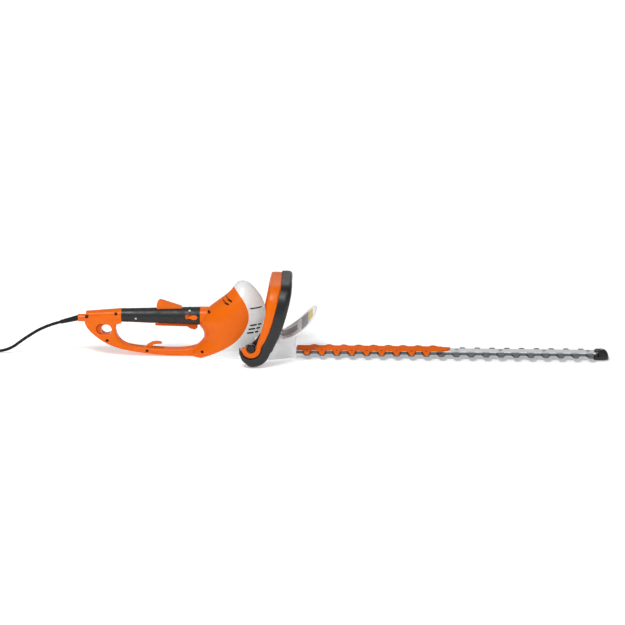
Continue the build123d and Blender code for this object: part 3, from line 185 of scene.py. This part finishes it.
# ---------------------------------------------------------------- mains cord
CORD_DIAMETER = 0.0075
CORD_ROUTE = [
    (-0.684, 0.0, 0.080), (-0.7207, 0.0, 0.0702), (-0.772, 0.001, 0.038), (-0.808, 0.0, 0.0095),
    (-0.852, -0.004, 0.004), (-0.900, -0.018, 0.004), (-0.948, -0.026, 0.004), (-0.986, -0.012, 0.004),
    (-1.003, 0.025, 0.014), (-1.000, 0.063, 0.014),
]
line = bpy.data.curves.new("mains_lead", "CURVE")
line.dimensions = "3D"
spline = line.splines.new("NURBS")
spline.points.add(len(CORD_ROUTE) - 1)
for point, place in zip(spline.points, CORD_ROUTE):
    point.co = (*place, 1.0)
spline.order_u = 3
spline.use_endpoint_u = True
spline.resolution_u = 16
line.bevel_depth = CORD_DIAMETER / 2
line.bevel_resolution = 6
line.use_fill_caps = True
line.materials.append(MATERIALS["rubber"])
lead = bpy.data.objects.new("mains_lead", line)
scene.collection.objects.link(lead)
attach(lead, "housing")
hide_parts("mains_cord")

# ---------------------------------------------------------------- floor
FLOOR_REACH = 30.0
PAPER = (0.93, 0.93, 0.93, 1.0)
WHITE = (1.0, 1.0, 1.0, 1.0)
NEAR_GLOW, FAR_GLOW = (0.5, 0.34), (2.2, 1.0)  # distance from the middle, and the paper's emission there

floor_mesh = bpy.data.meshes.new("floor")
corners = [(sx * FLOOR_REACH, sy * FLOOR_REACH, 0) for sx, sy in ((-1, -1), (1, -1), (1, 1), (-1, 1))]
floor_mesh.from_pydata(corners, [], [(0, 1, 2, 3)])
floor = bpy.data.objects.new("floor", floor_mesh)
scene.collection.objects.link(floor)
paper = bpy.data.materials.new("floor_paper")
paper.use_nodes = True
floor_mesh.materials.append(paper)
tree = paper.node_tree
shader = tree.nodes["Principled BSDF"]
shader.inputs["Base Color"].default_value = PAPER
shader.inputs["Roughness"].default_value = 0.9
shader.inputs["Specular IOR Level"].default_value = 0.1
shader.inputs["Emission Color"].default_value = WHITE
away = tree.nodes.new("ShaderNodeVectorMath")
away.operation = "LENGTH"
tree.links.new(tree.nodes.new("ShaderNodeTexCoord").outputs["Object"], away.inputs["Vector"])
glow = tree.nodes.new("ShaderNodeMapRange")  # the paper brightens away from the object
for end, (distance, emission) in (("Min", NEAR_GLOW), ("Max", FAR_GLOW)):
    glow.inputs[f"From {end}"].default_value = distance
    glow.inputs[f"To {end}"].default_value = emission
tree.links.new(away.outputs["Value"], glow.inputs["Value"])
tree.links.new(glow.outputs["Result"], shader.inputs["Emission Strength"])

# ---------------------------------------------------------------- sky and lights
world = bpy.data.worlds.new("studio")
world.use_nodes = True
sky = world.node_tree
sky.nodes["Background"].inputs["Color"].default_value = WHITE
sky.nodes["Background"].inputs["Strength"].default_value = 0.30
backdrop = sky.nodes.new("ShaderNodeBackground")  # what the camera itself sees
backdrop.inputs["Strength"].default_value = 1.0
seen = sky.nodes.new("ShaderNodeLightPath")
choice = sky.nodes.new("ShaderNodeMixShader")
sky.links.new(seen.outputs["Is Camera Ray"], choice.inputs["Fac"])
sky.links.new(sky.nodes["Background"].outputs["Background"], choice.inputs[1])
sky.links.new(backdrop.outputs["Background"], choice.inputs[2])
sky.links.new(choice.outputs["Shader"], sky.nodes["World Output"].inputs["Surface"])
scene.world = world


def soft_box(name, place, aim, size, power):
    """A square area light that points at a place."""
    light = bpy.data.lights.new(name, "AREA")
    light.size = size
    light.energy = power
    item = bpy.data.objects.new(name, light)
    item.location = place
    item.rotation_euler = (Vector(aim) - Vector(place)).to_track_quat("-Z", "Y").to_euler()
    scene.collection.objects.link(item)


soft_box("key", (-0.9, -1.9, 3.0), aim=(-0.1, 0.0, 0.1), size=1.1, power=78.0)
soft_box("fill", (2.4, -2.8, 1.6), aim=(0.0, 0.0, 0.1), size=2.4, power=10.0)
soft_box("rim", (0.0, 2.6, 2.4), aim=(0.0, 0.0, 0.1), size=2.0, power=14.0)


# ---------------------------------------------------------------- curves
def eased(f):
    """0 to 1, with a soft start and a soft end."""
    return f * f * (3 - 2 * f)


def smooth_through(points, t):
    """The point at index t on a smooth curve through the points."""
    n = min(int(t), len(points) - 2)
    f = t - n
    around = [points[min(max(n + k, 0), len(points) - 1)] for k in (-1, 0, 1, 2)]
    result = []
    for before, start, end, after in zip(*around):
        out, back = (end - before) / 2, (after - start) / 2
        result.append(
            start * (2 * f**3 - 3 * f**2 + 1) + out * (f**3 - 2 * f**2 + f)
            + end * (3 * f**2 - 2 * f**3) + back * (f**3 - f**2)
        )
    return result


def across_at(points, height):
    """The first coordinate, at a height, on a curve whose points run steadily up or steadily down."""
    falls = points[0][1] > points[-1][1]
    low, high = 0.0, len(points) - 1.0
    for _ in range(30):
        middle = (low + high) / 2
        if (smooth_through(points, middle)[1] > height) == falls:
            low = middle
        else:
            high = middle
    return smooth_through(points, low)[0]


# ---------------------------------------------------------------- meshes, each as its points and its faces
SHARP_ANGLE = math.radians(38)
BEVEL_ANGLE = math.radians(35)


def piece(name, mesh_data, body, slot, stands_for=(), bevel=0.0, look=None):
    """A mesh object in metres, made from millimetres, riding on a body."""
    verts, faces = mesh_data
    mesh = bpy.data.meshes.new(name)
    mesh.from_pydata([[c / 1000 for c in v] for v in verts], [], faces)
    shape = bmesh.new()
    shape.from_mesh(mesh)
    bmesh.ops.remove_doubles(shape, verts=shape.verts, dist=1e-6)
    bmesh.ops.recalc_face_normals(shape, faces=shape.faces)
    shape.to_mesh(mesh)
    shape.free()
    item = bpy.data.objects.new(name, mesh)
    scene.collection.objects.link(item)
    for face in mesh.polygons:
        face.use_smooth = True
    mesh.set_sharp_from_angle(angle=SHARP_ANGLE)
    if bevel:
        rounding = item.modifiers.new("edges", "BEVEL")
        rounding.width = bevel / 1000
        rounding.segments = 3
        rounding.limit_method = "ANGLE"
        rounding.angle_limit = BEVEL_ANGLE
    mesh.materials.append(look or MATERIALS[slot])
    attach(item, body)
    if stands_for:
        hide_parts(*stands_for)


def rings(loops):
    """A closed mesh through successive loops of equal length, with a cap at each end."""
    count = len(loops[0])
    verts = [v for loop in loops for v in loop]
    faces = []
    for row in range(len(loops) - 1):
        for k in range(count):
            a, b = row * count + k, row * count + (k + 1) % count
            faces.append((a, b, b + count, a + count))
    faces += [tuple(range(count)), tuple(range(len(verts) - count, len(verts)))]
    return verts, faces


def sheet(upper, under):
    """A closed mesh between two layers of rows."""
    return rings([[*top, *reversed(bottom)] for top, bottom in zip(upper, under)])


def merged(shapes):
    """One mesh from several."""
    verts, faces = [], []
    for more_verts, more_faces in shapes:
        faces += [tuple(k + len(verts) for k in face) for face in more_faces]
        verts += more_verts
    return verts, faces


def plate(outline, *places):
    """An outline in X and Z, swept through places along Y."""
    return rings([[(x, y, z) for x, z in outline] for y in places])


def turned(u, v, profile, sides, upright=False):
    """A turned mesh round an axis along Y or, upright, Z. Its profile is radii and places along the axis."""
    loops = []
    for radius, place in profile:
        turns = [2 * math.pi * k / sides for k in range(sides)]
        circle = [(u + radius * math.cos(a), v + radius * math.sin(a)) for a in turns]
        loops.append([(p, q, place) if upright else (p, place, q) for p, q in circle])
    return rings(loops)


def oval(angle, front, rear, half_w, half_t):
    """A point of a rounded section, whose two halves have their own squareness."""
    c, s = math.cos(angle), math.sin(angle)
    power = 2 / (front if c > 0 else rear)
    return math.copysign(abs(c) ** power, c) * half_w, math.copysign(abs(s) ** power, s) * half_t


def swept(stations, section):
    """Sections along a path. A station is its centre, its outward direction and its two half widths."""
    centres = [Vector(s[0]) for s in stations]
    loops = []
    for n, (_, out, half_w, half_t) in enumerate(stations):
        run = (centres[min(n + 1, len(centres) - 1)] - centres[max(n - 1, 0)]).normalized()
        across = run.cross(Vector(out).normalized()).normalized()
        out = across.cross(run).normalized()
        loops.append([centres[n] + across * u + out * v for u, v in section(half_w, half_t, centres[n].z)])
    return rings(loops)


# ---------------------------------------------------------------- front loop handle and switch bail
PIVOT_X, PIVOT_Z = -221.5, 47.5
LEG_Y = 102.3  # middle of the legs at the pivot
LOOP_THICK, BAIL_THICK = 10.6, 8.4  # half of it, in the curls
CURL_TOP = 62.0  # where a curl runs into its leg
ARCH_STEPS, CURL_STEPS = 60, 28
ARCH_START = 1.1  # index on the arch's lines where its stations start
BAIL_INSET, BAIL_DROP, BAIL_TUCK = 1.6, 1.2, 0.8  # thinner, lower, and reaching under the loop's lip
OUTER_ARCH = [
    (-106.5, -40.0), (-113.5, 50.0), (-116.0, 100.0), (-110.5, 146.0), (-97.5, 176.0), (-68.0, 196.5),
    (0.0, 203.0),
]
INNER_ARCH = [
    (-84.5, -40.0), (-91.5, 50.0), (-94.0, 100.0), (-89.5, 138.0), (-79.0, 161.0), (-58.0, 176.0),
    (0.0, 181.0),
]
BAIL_REAR = [
    (-176.0, 212.0), (-178.0, 188.0), (-182.5, 165.0), (-188.5, 130.0), (-196.0, 96.0), (-207.0, 62.0),
]
SEAM_LINE = [
    (-148.0, 212.0), (-150.0, 188.0), (-156.5, 165.0), (-165.5, 130.0), (-175.5, 96.0), (-189.5, 62.0),
]
LOOP_FRONT = [
    (-127.0, 212.0), (-125.5, 188.0), (-130.0, 160.0), (-141.0, 118.0), (-152.5, 83.0), (-161.5, 62.0),
]
LOOP_CURL = [  # angle round the pivot, inner radius, outer radius
    (-176, 25.0, 28.5), (-150, 24.8, 31.0), (-115, 24.6, 38.0), (-85, 24.6, 46.0), (-45, 24.6, 47.0),
    (-15, 24.5, 46.5), (6, 25.2, 54.0),
]
BAIL_CURL = [(-184, 11.4, 22.8), (-170, 10.4, 23.8), (-60, 9.8, 23.8), (-10, 10.6, 24.2), (14, 12.4, 25.2)]
BAIL_FRONT_SQUARE, BAIL_REAR_SQUARE, LOOP_SQUARE = 5.0, 4.2, 2.7  # 2 is an ellipse, more is squarer
SQUEEZE_SLOPE = 0.0384  # room for the bail's travel, per millimetre above its pivot
STEP_START = 56.0  # height at which the loop's rear face steps in for the bail
CURL_STEP, LEG_STEP = 0.5, 1.2
LIP, LIP_EDGE, CHAMFER = 1.0, 0.3, 1.5


def bail_section(half_w, half_t, _, sides=32):
    """A closed rounded section."""
    turns = [2 * math.pi * k / sides for k in range(sides)]
    return [oval(a, BAIL_FRONT_SQUARE, BAIL_REAR_SQUARE, half_w, half_t) for a in turns]


def loop_section(half_w, half_t, height):
    """A rounded front with a stepped rear face behind a thin outer lip, where the bail moves in."""
    step = -half_w + (CURL_STEP if height < STEP_START else SQUEEZE_SLOPE * (height - PIVOT_Z) + LEG_STEP)
    nose = [oval(math.pi * (k - 8) / 16, LOOP_SQUARE, LOOP_SQUARE, half_w, half_t) for k in range(17)]
    return nose + [
        (LIP_EDGE - half_w, half_t), (-half_w, half_t - LIP_EDGE), (-half_w, half_t - LIP),
        (step, half_t - LIP), (step, CHAMFER - half_t), (step + CHAMFER, -half_t),
    ]


def arch_stations(rear, front, inset=0.0, drop=0.0, tuck=0.0):
    """Stations from the foot of the near leg to the middle of the top."""
    found = []
    for step in range(ARCH_STEPS + 1):
        t = ARCH_START + (len(OUTER_ARCH) - 1 - ARCH_START) * step / ARCH_STEPS
        (yo, zo), (yi, zi) = smooth_through(OUTER_ARCH, t), smooth_through(INNER_ARCH, t)
        y, z = (yo + yi) / 2, (zo + zi) / 2 - drop
        if z < CURL_TOP:
            continue
        x_rear, x_front = across_at(rear, z), across_at(front, z) + tuck
        tilt = math.atan2(across_at(front, z + 3) - across_at(front, z - 3), 6.0)
        half_w = (x_front - x_rear) / 2 * math.cos(tilt)
        half_t = math.hypot(yo - yi, zo - zi) / 2 - inset
        found.append((((x_rear + x_front) / 2, y, z), (0.0, yo - yi, zo - zi), half_w, half_t))
    return found


def curl_stations(radii, thick):
    """Stations round the pivot, from the tip of the curl to the foot of the near leg."""
    found = []
    first, last = radii[0][0], radii[-1][0]
    for step in range(CURL_STEPS + 1):
        angle = first + (last - first) * step / CURL_STEPS
        for (a, in_a, out_a), (b, in_b, out_b) in zip(radii, radii[1:]):
            if a <= angle <= b:
                f = eased((angle - a) / (b - a))
                inside, outside = in_a + (in_b - in_a) * f, out_a + (out_b - out_a) * f
                break
        turn = math.radians(angle)
        middle = (inside + outside) / 2
        centre = (PIVOT_X + middle * math.cos(turn), -LEG_Y, PIVOT_Z + middle * math.sin(turn))
        found.append((centre, (0.0, -1.0, 0.0), (outside - inside) / 2, thick))
    return found


def both_sides(near):
    """The near half's stations, and then the same path down the far side."""
    far = [((x, -y, z), (ox, -oy, oz), w, t) for (x, y, z), (ox, oy, oz), w, t in reversed(near)]
    return near + far[1:]


near_half = curl_stations(LOOP_CURL, LOOP_THICK) + arch_stations(SEAM_LINE, LOOP_FRONT)
piece("loop_bow", swept(both_sides(near_half), loop_section), "housing", "black_plastic", ["loop_handle"])
near_half = curl_stations(BAIL_CURL, BAIL_THICK)
near_half += arch_stations(BAIL_REAR, SEAM_LINE, BAIL_INSET, BAIL_DROP, BAIL_TUCK)
piece("switch_bow", swept(both_sides(near_half), bail_section), "bail", "orange_shell", ["switch_bail"])

BOSS_PROFILE = [(9.3, 87.0), (9.3, 109.6), (8.4, 111.0), (4.4, 111.3), (4.0, 109.8), (0.01, 109.8)]
WEB_OUTLINE = [
    (-236.0, 44.0), (-234.5, 51.0), (-217.0, 59.0), (-207.0, 70.5), (-201.0, 81.0), (-190.0, 84.0),
    (-188.0, 60.0), (-191.0, 42.0), (-200.0, 28.0), (-214.0, 20.0), (-229.0, 21.0), (-241.0, 30.0),
    (-245.0, 40.0),
]
STRUT_OUTLINE = [(-229.0, 6.0), (-206.0, 6.0), (-202.0, 10.0), (-206.0, 15.5), (-228.0, 15.5), (-231.0, 10.0)]
for side, hand in ((-1, "near"), (1, "far")):
    boss = turned(PIVOT_X, PIVOT_Z, [(radius, side * reach) for radius, reach in BOSS_PROFILE], 40)
    piece(f"pivot_boss_{hand}", boss, "housing", "black_plastic")
    web = plate(WEB_OUTLINE, side * 86.0, side * 91.2)
    piece(f"pivot_web_{hand}", web, "housing", "black_plastic", bevel=1.0)
    strut = plate(STRUT_OUTLINE, side * 41.8, side * 70.0, side * 94.0)
    piece(f"loop_strut_{hand}", strut, "housing", "black_plastic", bevel=1.6)

# ---------------------------------------------------------------- blade guard
PITCH = 36.0
GUARD_START, GUARD_END = -113.0, 257.0
ARROW_START = GUARD_END - 24.0
ARROW = [(ARROW_START, 19.0), (GUARD_END - 15.0, 13.2), (GUARD_END - 9.0, 12.6), (GUARD_END, 0.6)]
GUARD_HALF = 18.6  # between its fingers
FINGER_REACH, FINGER_FLAT, FINGER_FLANK = 18.6, 4.2, 7.6
GUARD_TOP, GUARD_FALL, GUARD_THICK = 24.0, 3.6, 3.1
FALL_START, FALL_WIDTH = 14.5, 22.5
OVER_BAR, OVER_BLADES, BAR_COVER_HALF = 20.3, 17.35, 15.0  # the underside just clears the steel
PIT_Y, PIT_R, PIT_DEPTH = 22.0, 3.2, 1.1
RIM_DROP = 0.8
GUARD_COLUMNS = 20  # on each side of the middle
TIP_LEVELS = ((20.6, 4.4, 37.4), (18.4, 4.4, 38.9), (16.0, 3.4, 39.0), (14.6, 2.0, 38.6), (14.3, 0.8, 38.2))
TIP_ROOT, TIP_BLUNT = 36.2, 0.8


def finger_places(first):
    """Where the fingers of one side stand, short of the arrow."""
    return [x for x in (first + PITCH * n for n in range(20)) if x < ARROW_START]


NEAR, FAR = finger_places(-89.0), finger_places(-71.0)


def guard_edge(x, tips):
    """Half the width of the guard on one side."""
    if x > ARROW_START:
        for (a, wa), (b, wb) in zip(ARROW, ARROW[1:]):
            if a <= x <= b:
                return wa + (wb - wa) * (x - a) / (b - a)
    off = min(abs(x - tip) for tip in tips)
    return GUARD_HALF + FINGER_REACH * eased(min(1.0, max(0.0, 1 - (off - FINGER_FLAT) / FINGER_FLANK)))


def guard_height(y):
    """The guard's top, which falls away towards the finger tips."""
    fall = min(1.0, max(0.0, (abs(y) - FALL_START) / FALL_WIDTH))
    return GUARD_TOP - GUARD_FALL * fall**1.3


def guard_layer(top):
    """Rows of the guard's upper face, with its pits and rounded rim, or of its underside."""
    pits = [(tip, -PIT_Y) for tip in NEAR] + [(tip, PIT_Y) for tip in FAR]
    rows = []
    for step in range(int(GUARD_END - GUARD_START) + 1):
        x = GUARD_START + step
        row = []
        for k in range(-GUARD_COLUMNS, GUARD_COLUMNS + 1):
            y = k / GUARD_COLUMNS * guard_edge(x, NEAR if k < 0 else FAR)
            z = guard_height(y)
            if top:
                pit = min(math.hypot(x - px, y - py) for px, py in pits)
                z -= PIT_DEPTH * max(0.0, 1 - (pit / PIT_R) ** 2)
                z -= RIM_DROP * max(0.0, (abs(k) - GUARD_COLUMNS + 2) / 2) ** 2
            else:
                z = OVER_BAR if abs(y) < BAR_COVER_HALF else max(OVER_BLADES, z - GUARD_THICK)
            row.append((x, y, z))
        rows.append(row)
    return rows


def finger_tip(tip, side):
    """The blunt end of a finger, bent down beside the blades."""
    loops = []
    for z, half, reach in TIP_LEVELS:
        blunt = half * TIP_BLUNT
        corners = [(-half, TIP_ROOT), (-blunt, reach), (blunt, reach), (half, TIP_ROOT)]
        loops.append([(tip + dx, side * y, z) for dx, y in corners])
    return rings(loops)


guard = sheet(guard_layer(True), guard_layer(False))
piece("finger_guard", guard, "housing", "orange_shell", ["blade_guard"], look=GUARD_ORANGE)
# painted shade: dark discs laid in the bottoms of the guard's pits
shade_disc_profile = [(r, guard_height(PIT_Y) - drop) for r, drop in ((2.9, 0.9), (2.9, 0.1), (0.02, 0.1))]
pit_shade_discs = [turned(tip, -PIT_Y, shade_disc_profile, 20, upright=True) for tip in NEAR]
pit_shade_discs += [turned(tip, PIT_Y, shade_disc_profile, 20, upright=True) for tip in FAR]
piece("guard_pit_shade", merged(pit_shade_discs), "housing", "orange_shell", look=PAINTED_SHADE_ORANGE)
ends = [finger_tip(tip, -1) for tip in NEAR] + [finger_tip(tip, 1) for tip in FAR]
piece("finger_tips", merged(ends), "housing", "orange_shell", bevel=0.5, look=GUARD_ORANGE)

# ---------------------------------------------------------------- hand guard and its label
GUARD_CURVE = [
    (-160.0, 55.4), (-150.0, 55.4), (-142.0, 55.6), (-128.0, 60.5), (-115.0, 68.3), (-100.0, 79.5),
    (-82.0, 98.3), (-70.0, 115.0), (-65.6, 122.4),
]
SHIELD_EDGE = [  # half width and height
    (36.0, 55.0), (52.0, 58.0), (62.0, 66.0), (69.0, 84.0), (66.0, 98.0), (51.0, 110.5), (26.0, 119.5),
    (3.0, 123.4),
]
SHIELD_THICK = 2.7
SHIELD_COLUMNS = 24  # on each side of the middle
RIM_RISE, RIM_START = 0.9, 0.93
EAR_OUTLINE = [(-156.0, 42.0), (-122.0, 42.0), (-114.0, 68.0), (-142.0, 55.8), (-156.0, 55.8)]
EAR_THICK = 3.0
FIELD_THICK = 0.6


def shield(offset, first=0.0, last=8.0, reach=1.0, most=None, steps=60, rim=0.0):
    """Rows across the guard's sheet between two indexes of its curve, at an offset from its underside."""
    rows = []
    for step in range(steps + 1):
        t = first + (last - first) * step / steps
        (x, z), (xa, za), (xb, zb) = (
            smooth_through(GUARD_CURVE, min(max(t + d, 0), len(GUARD_CURVE) - 1)) for d in (0, -0.05, 0.05)
        )
        run = math.hypot(xb - xa, zb - za)
        nx, nz = -(zb - za) / run, (xb - xa) / run
        half = across_at(SHIELD_EDGE, z) * reach
        half = min(most, half) if most else half
        row = []
        for k in range(-SHIELD_COLUMNS, SHIELD_COLUMNS + 1):
            u = k / SHIELD_COLUMNS
            lift = offset + rim * max(0.0, (abs(u) - RIM_START) / (1 - RIM_START))
            row.append((x + nx * lift, u * half, z + nz * lift))
        rows.append(row)
    return rows


def field(rise, **extent):
    """A thin plate on the shield's front face, which stands out by its rise."""
    face = SHIELD_THICK + rise
    return sheet(shield(face, **extent), shield(face - FIELD_THICK, **extent))


screen = sheet(shield(SHIELD_THICK, rim=RIM_RISE), shield(0.0))
piece("hand_shield", screen, "housing", "light_grey_shell", ["hand_guard"])
for hand, y in (("near", -38.5), ("far", 41.5)):
    ear = plate(EAR_OUTLINE, y, y - EAR_THICK)
    piece(f"shield_ear_{hand}", ear, "housing", "light_grey_shell", bevel=0.6)
grey = field(0.65, first=5.0, last=5.85, reach=0.80, most=52.0, steps=16)
piece("label_grey_field", grey, "housing", "label", ["guard_label"])
yellow = field(0.65, first=5.92, last=6.6, reach=0.66, most=42.0, steps=16)
piece("label_yellow_field", yellow, "housing", "label", look=LABEL_YELLOW)
# painted shade: a darker grey plate over the base of the shield, where it lies in shadow
shade_field = field(0.4, first=1.0, last=4.25, most=25.0, steps=24)
piece("shield_shade_field", shade_field, "housing", "light_grey_shell", look=PAINTED_SHADE_GREY)

# ---------------------------------------------------------------- screw by the cord's entry
ENTRY_SCREW = [(4.3, -12.0), (4.3, -14.9), (3.5, -15.0), (2.4, -14.7), (0.02, -14.7)]
# painted shade: the screw takes the dark colour of its hole rather than its steel
entry = turned(-619.5, 97.6, ENTRY_SCREW, 32)
piece("entry_screw", entry, "housing", "screw_steel", look=MATERIALS["dark_screws"])

# ---------------------------------------------------------------- nose of the blade
DOME_X = 616.0
DOME_FRONT, DOME_REAR, DOME_HALF = 25.3, 13.0, 18.3
DOME_FOOT, DOME_RISE, DOME_BLUNT = 3.0, 22.5, 0.23
DOME_TOP = 0.04  # the least share of its full size
DOME_SQUARE = 2 / 3  # square enough in plan for the corners of the guide bar to stay inside
SLOT_LOW, SLOT_HIGH, SLOT_DEEP = 10.6, 17.4, 5.0  # the blades run into this slot at the ends of their stroke
SLOT_EDGE = 0.1


def dome_loop(z):
    """The dome's outline at a height."""
    spread = max(DOME_TOP, (1 - min(1.0, (z - DOME_FOOT) / DOME_RISE) ** 2) ** DOME_BLUNT)
    loop = []
    for k in range(40):
        a = 2 * math.pi * k / 40
        ahead, aside = (math.copysign(abs(v) ** DOME_SQUARE, v) for v in (math.cos(a), math.sin(a)))
        x = (DOME_FRONT if ahead > 0 else DOME_REAR) * spread * ahead
        if SLOT_LOW <= z <= SLOT_HIGH and abs(a - math.pi) < math.pi / 2:
            x = max(x, SLOT_DEEP * math.cos(a) ** 2)
        loop.append((DOME_X + x, DOME_HALF * spread * aside, z))
    return loop


heights = [DOME_FOOT + DOME_RISE * math.sin(math.pi / 2 * n / 12) for n in range(13)]
heights += [SLOT_LOW - SLOT_EDGE, SLOT_LOW, SLOT_HIGH, SLOT_HIGH + SLOT_EDGE]
dome = rings([dome_loop(z) for z in sorted(heights)])
piece("tip_dome", dome, "housing", "black_plastic", ["tip_protector"])

# ---------------------------------------------------------------- painted shade: dark screens behind the air slots
BODY_SECTIONS = [  # height, rear, front and half width of the body's cover
    (50.0, -338.0, -202.0, 50.0), (75.0, -346.0, -195.0, 51.0), (100.0, -346.0, -190.0, 50.0),
    (125.0, -321.0, -191.5, 47.0), (150.0, -288.0, -201.0, 41.0), (167.0, -271.0, -213.0, 32.0),
]
SCREEN_LOW, SCREEN_HIGH = 0.56, 4.40  # indexes in the sections above
SCREEN_STEPS = 24
SCREEN_FACE, SCREEN_BACK = 3.2, 3.9  # inwards from the cover's outside


def screen_layer(side, inset):
    """Rows round the front of the cover, at an inset from it."""
    rows = []
    for step in range(SCREEN_STEPS + 1):
        place = SCREEN_LOW + (SCREEN_HIGH - SCREEN_LOW) * step / SCREEN_STEPS
        z, rear, front, half = smooth_through(BODY_SECTIONS, place)
        middle, reach = (rear + front) / 2, (front - rear) / 2
        row = []
        for k in range(SCREEN_STEPS + 1):
            a = math.radians(12 + 92 * k / SCREEN_STEPS)
            row.append((middle + (reach - inset) * math.cos(a), side * (half - inset) * math.sin(a), z))
        rows.append(row)
    return rows


for hand, side in (("near", -1), ("far", 1)):
    layers = sheet(screen_layer(side, SCREEN_FACE), screen_layer(side, SCREEN_BACK))
    piece(f"air_shade_screen_{hand}", layers, "housing", "black_plastic")

# ---------------------------------------------------------------- painted shade in the air slots and shoulder grooves, and the dark joint line
PROUD, SUNK = 0.5, 0.8  # how far a strip stands out of the body and goes into it
END_TAPER = 0.7
SAMPLE_REACH = 2.2  # over and under a place, where the body's depth is taken
shells = []
for name in ("housing_right", "housing_left", "motor_cover"):
    shell = nodes[name]
    points = [shell.matrix_world @ v.co for v in shell.data.vertices]
    shells.append((points, [tuple(face.vertices) for face in shell.data.polygons]))
BODY_SURFACE = BVHTree.FromPolygons(*merged(shells))


def half_width(x, z):
    """How far out the body's near side lies at a place. A ray that slips between two faces is cast again."""
    for nudge in (0.0, 0.02, -0.02):
        start = Vector(((x + nudge) / 1000, -0.3, z / 1000))
        hit = BODY_SURFACE.ray_cast(start, Vector((0.0, 1.0, 0.0)))[0]
        if hit is not None:
            return -1000 * hit.y
    raise ValueError(f"the body doesn't reach x {x}, z {z}")


def ribbon(name, runs, half):
    """Dark strips on both sides. A run has places, and how far out the body lies over and under each."""
    strips = []
    for side in (-1, 1):
        for run in runs:
            loops = []
            for n, (x, z, over, under) in enumerate(run):
                tall = half * (END_TAPER if n in (0, len(run) - 1) else 1.0)
                middle, lean = (over + under) / 2, (over - under) / 2 * tall / SAMPLE_REACH
                corners = [
                    (middle + lean + PROUD, tall), (middle - lean + PROUD, -tall),
                    (middle - lean - SUNK, -tall), (middle + lean - SUNK, tall),
                ]
                loops.append([(x, side * y, z + dz) for y, dz in corners])
            strips.append(rings(loops))
    piece(name, merged(strips), "housing", "rubber")


def level_run(start, end, z, steps, clear, turn):
    """A level strip over a cut. The body is felt clear of the cut, and no nearer the front than turn."""
    run = []
    for k in range(steps + 1):
        x = start + (end - start) * k / steps
        out = (half_width(min(x, turn), z + clear) + half_width(min(x, turn), z - clear)) / 2
        run.append((x, z, out, out))
    return run


# painted shade: dark strips laid over the air slots, for the shade inside them
slot_shade_runs = []
for z, back in ((87.0, 0.0), (78.0, 3.5), (69.0, 7.0)):
    for start, end in ((-226.0, -210.0), (-207.3, -199.0)):
        slot_shade_runs.append(level_run(start - back, end - back, z, steps=6, clear=1.9, turn=-200.0 - back))
ribbon("air_slot_shade", slot_shade_runs, half=1.9)
ribbon("cover_joint", [level_run(-226.0, -198.0, 128.9, steps=12, clear=1.3, turn=-197.0)], half=1.5)
# painted shade: dark strips along the shoulder grooves, for the shade in them
GROOVE_SHADE_RUNS = [
    [
        (-284.2, 151.0, 7.5, 19.5), (-283.4, 150.4, 10.4, 22.1), (-281.0, 149.1, 19.0, 27.2),
        (-278.6, 148.0, 25.0, 30.9), (-276.2, 147.0, 29.0, 33.8), (-273.8, 146.2, 32.0, 36.0),
        (-271.4, 145.6, 34.3, 37.8), (-269.0, 145.1, 36.1, 39.2),
    ],
    [
        (-291.7, 143.4, 12.9, 23.5), (-290.9, 142.9, 15.7, 25.2), (-288.5, 141.6, 22.3, 29.6),
        (-286.1, 140.5, 27.5, 32.9), (-283.7, 139.5, 31.2, 35.5), (-281.3, 138.7, 33.9, 37.5),
        (-278.9, 138.1, 36.0, 39.1), (-276.5, 137.6, 37.7, 40.4),
    ],
]
ribbon("shoulder_groove_shade", GROOVE_SHADE_RUNS, half=2.1)

# ---------------------------------------------------------------- painted shade of a recess beside the hole for the cable
HOLE_X, HOLE_Z, HOLE_R = -573.0, 65.0, 13.7
RECESS_X, RECESS_Z = -585.0, 67.0
BODY_FACE = -14.0  # a little inside the near face of the rear frame
RECESS_FROM, RECESS_TURN = 70, 220  # in degrees, round the recess's middle


def recess(radius, face_y):
    """A thin crescent between a circle and the hole."""
    loops = []
    for step in range(49):
        a = math.radians(RECESS_FROM + RECESS_TURN * step / 48)
        x, z = RECESS_X + radius * math.cos(a), RECESS_Z + radius * math.sin(a)
        far_out = math.hypot(x - HOLE_X, z - HOLE_Z)
        if far_out > HOLE_R + 0.05:
            xi, zi = HOLE_X + (x - HOLE_X) * HOLE_R / far_out, HOLE_Z + (z - HOLE_Z) * HOLE_R / far_out
            loops.append([(x, face_y, z), (xi, face_y, zi), (xi, BODY_FACE, zi), (x, BODY_FACE, z)])
    return rings(loops)


# painted shade: two flat darker crescents beside the hole stand in for the shaded wall and floor of a recess
piece("recess_wall_shade", recess(12.6, -14.56), "housing", "orange_shell", look=PAINTED_SHADE_ORANGE)
piece("recess_floor_shade", recess(9.9, -14.62), "housing", "orange_shell", look=DEEP_ORANGE_AND_SHADE)

# ---------------------------------------------------------------- rounded edges on the release slide
slide_edges = nodes["release_slide"].modifiers.new("edges", "BEVEL")
slide_edges.width = 0.0014
slide_edges.segments = 3
slide_edges.limit_method = "ANGLE"
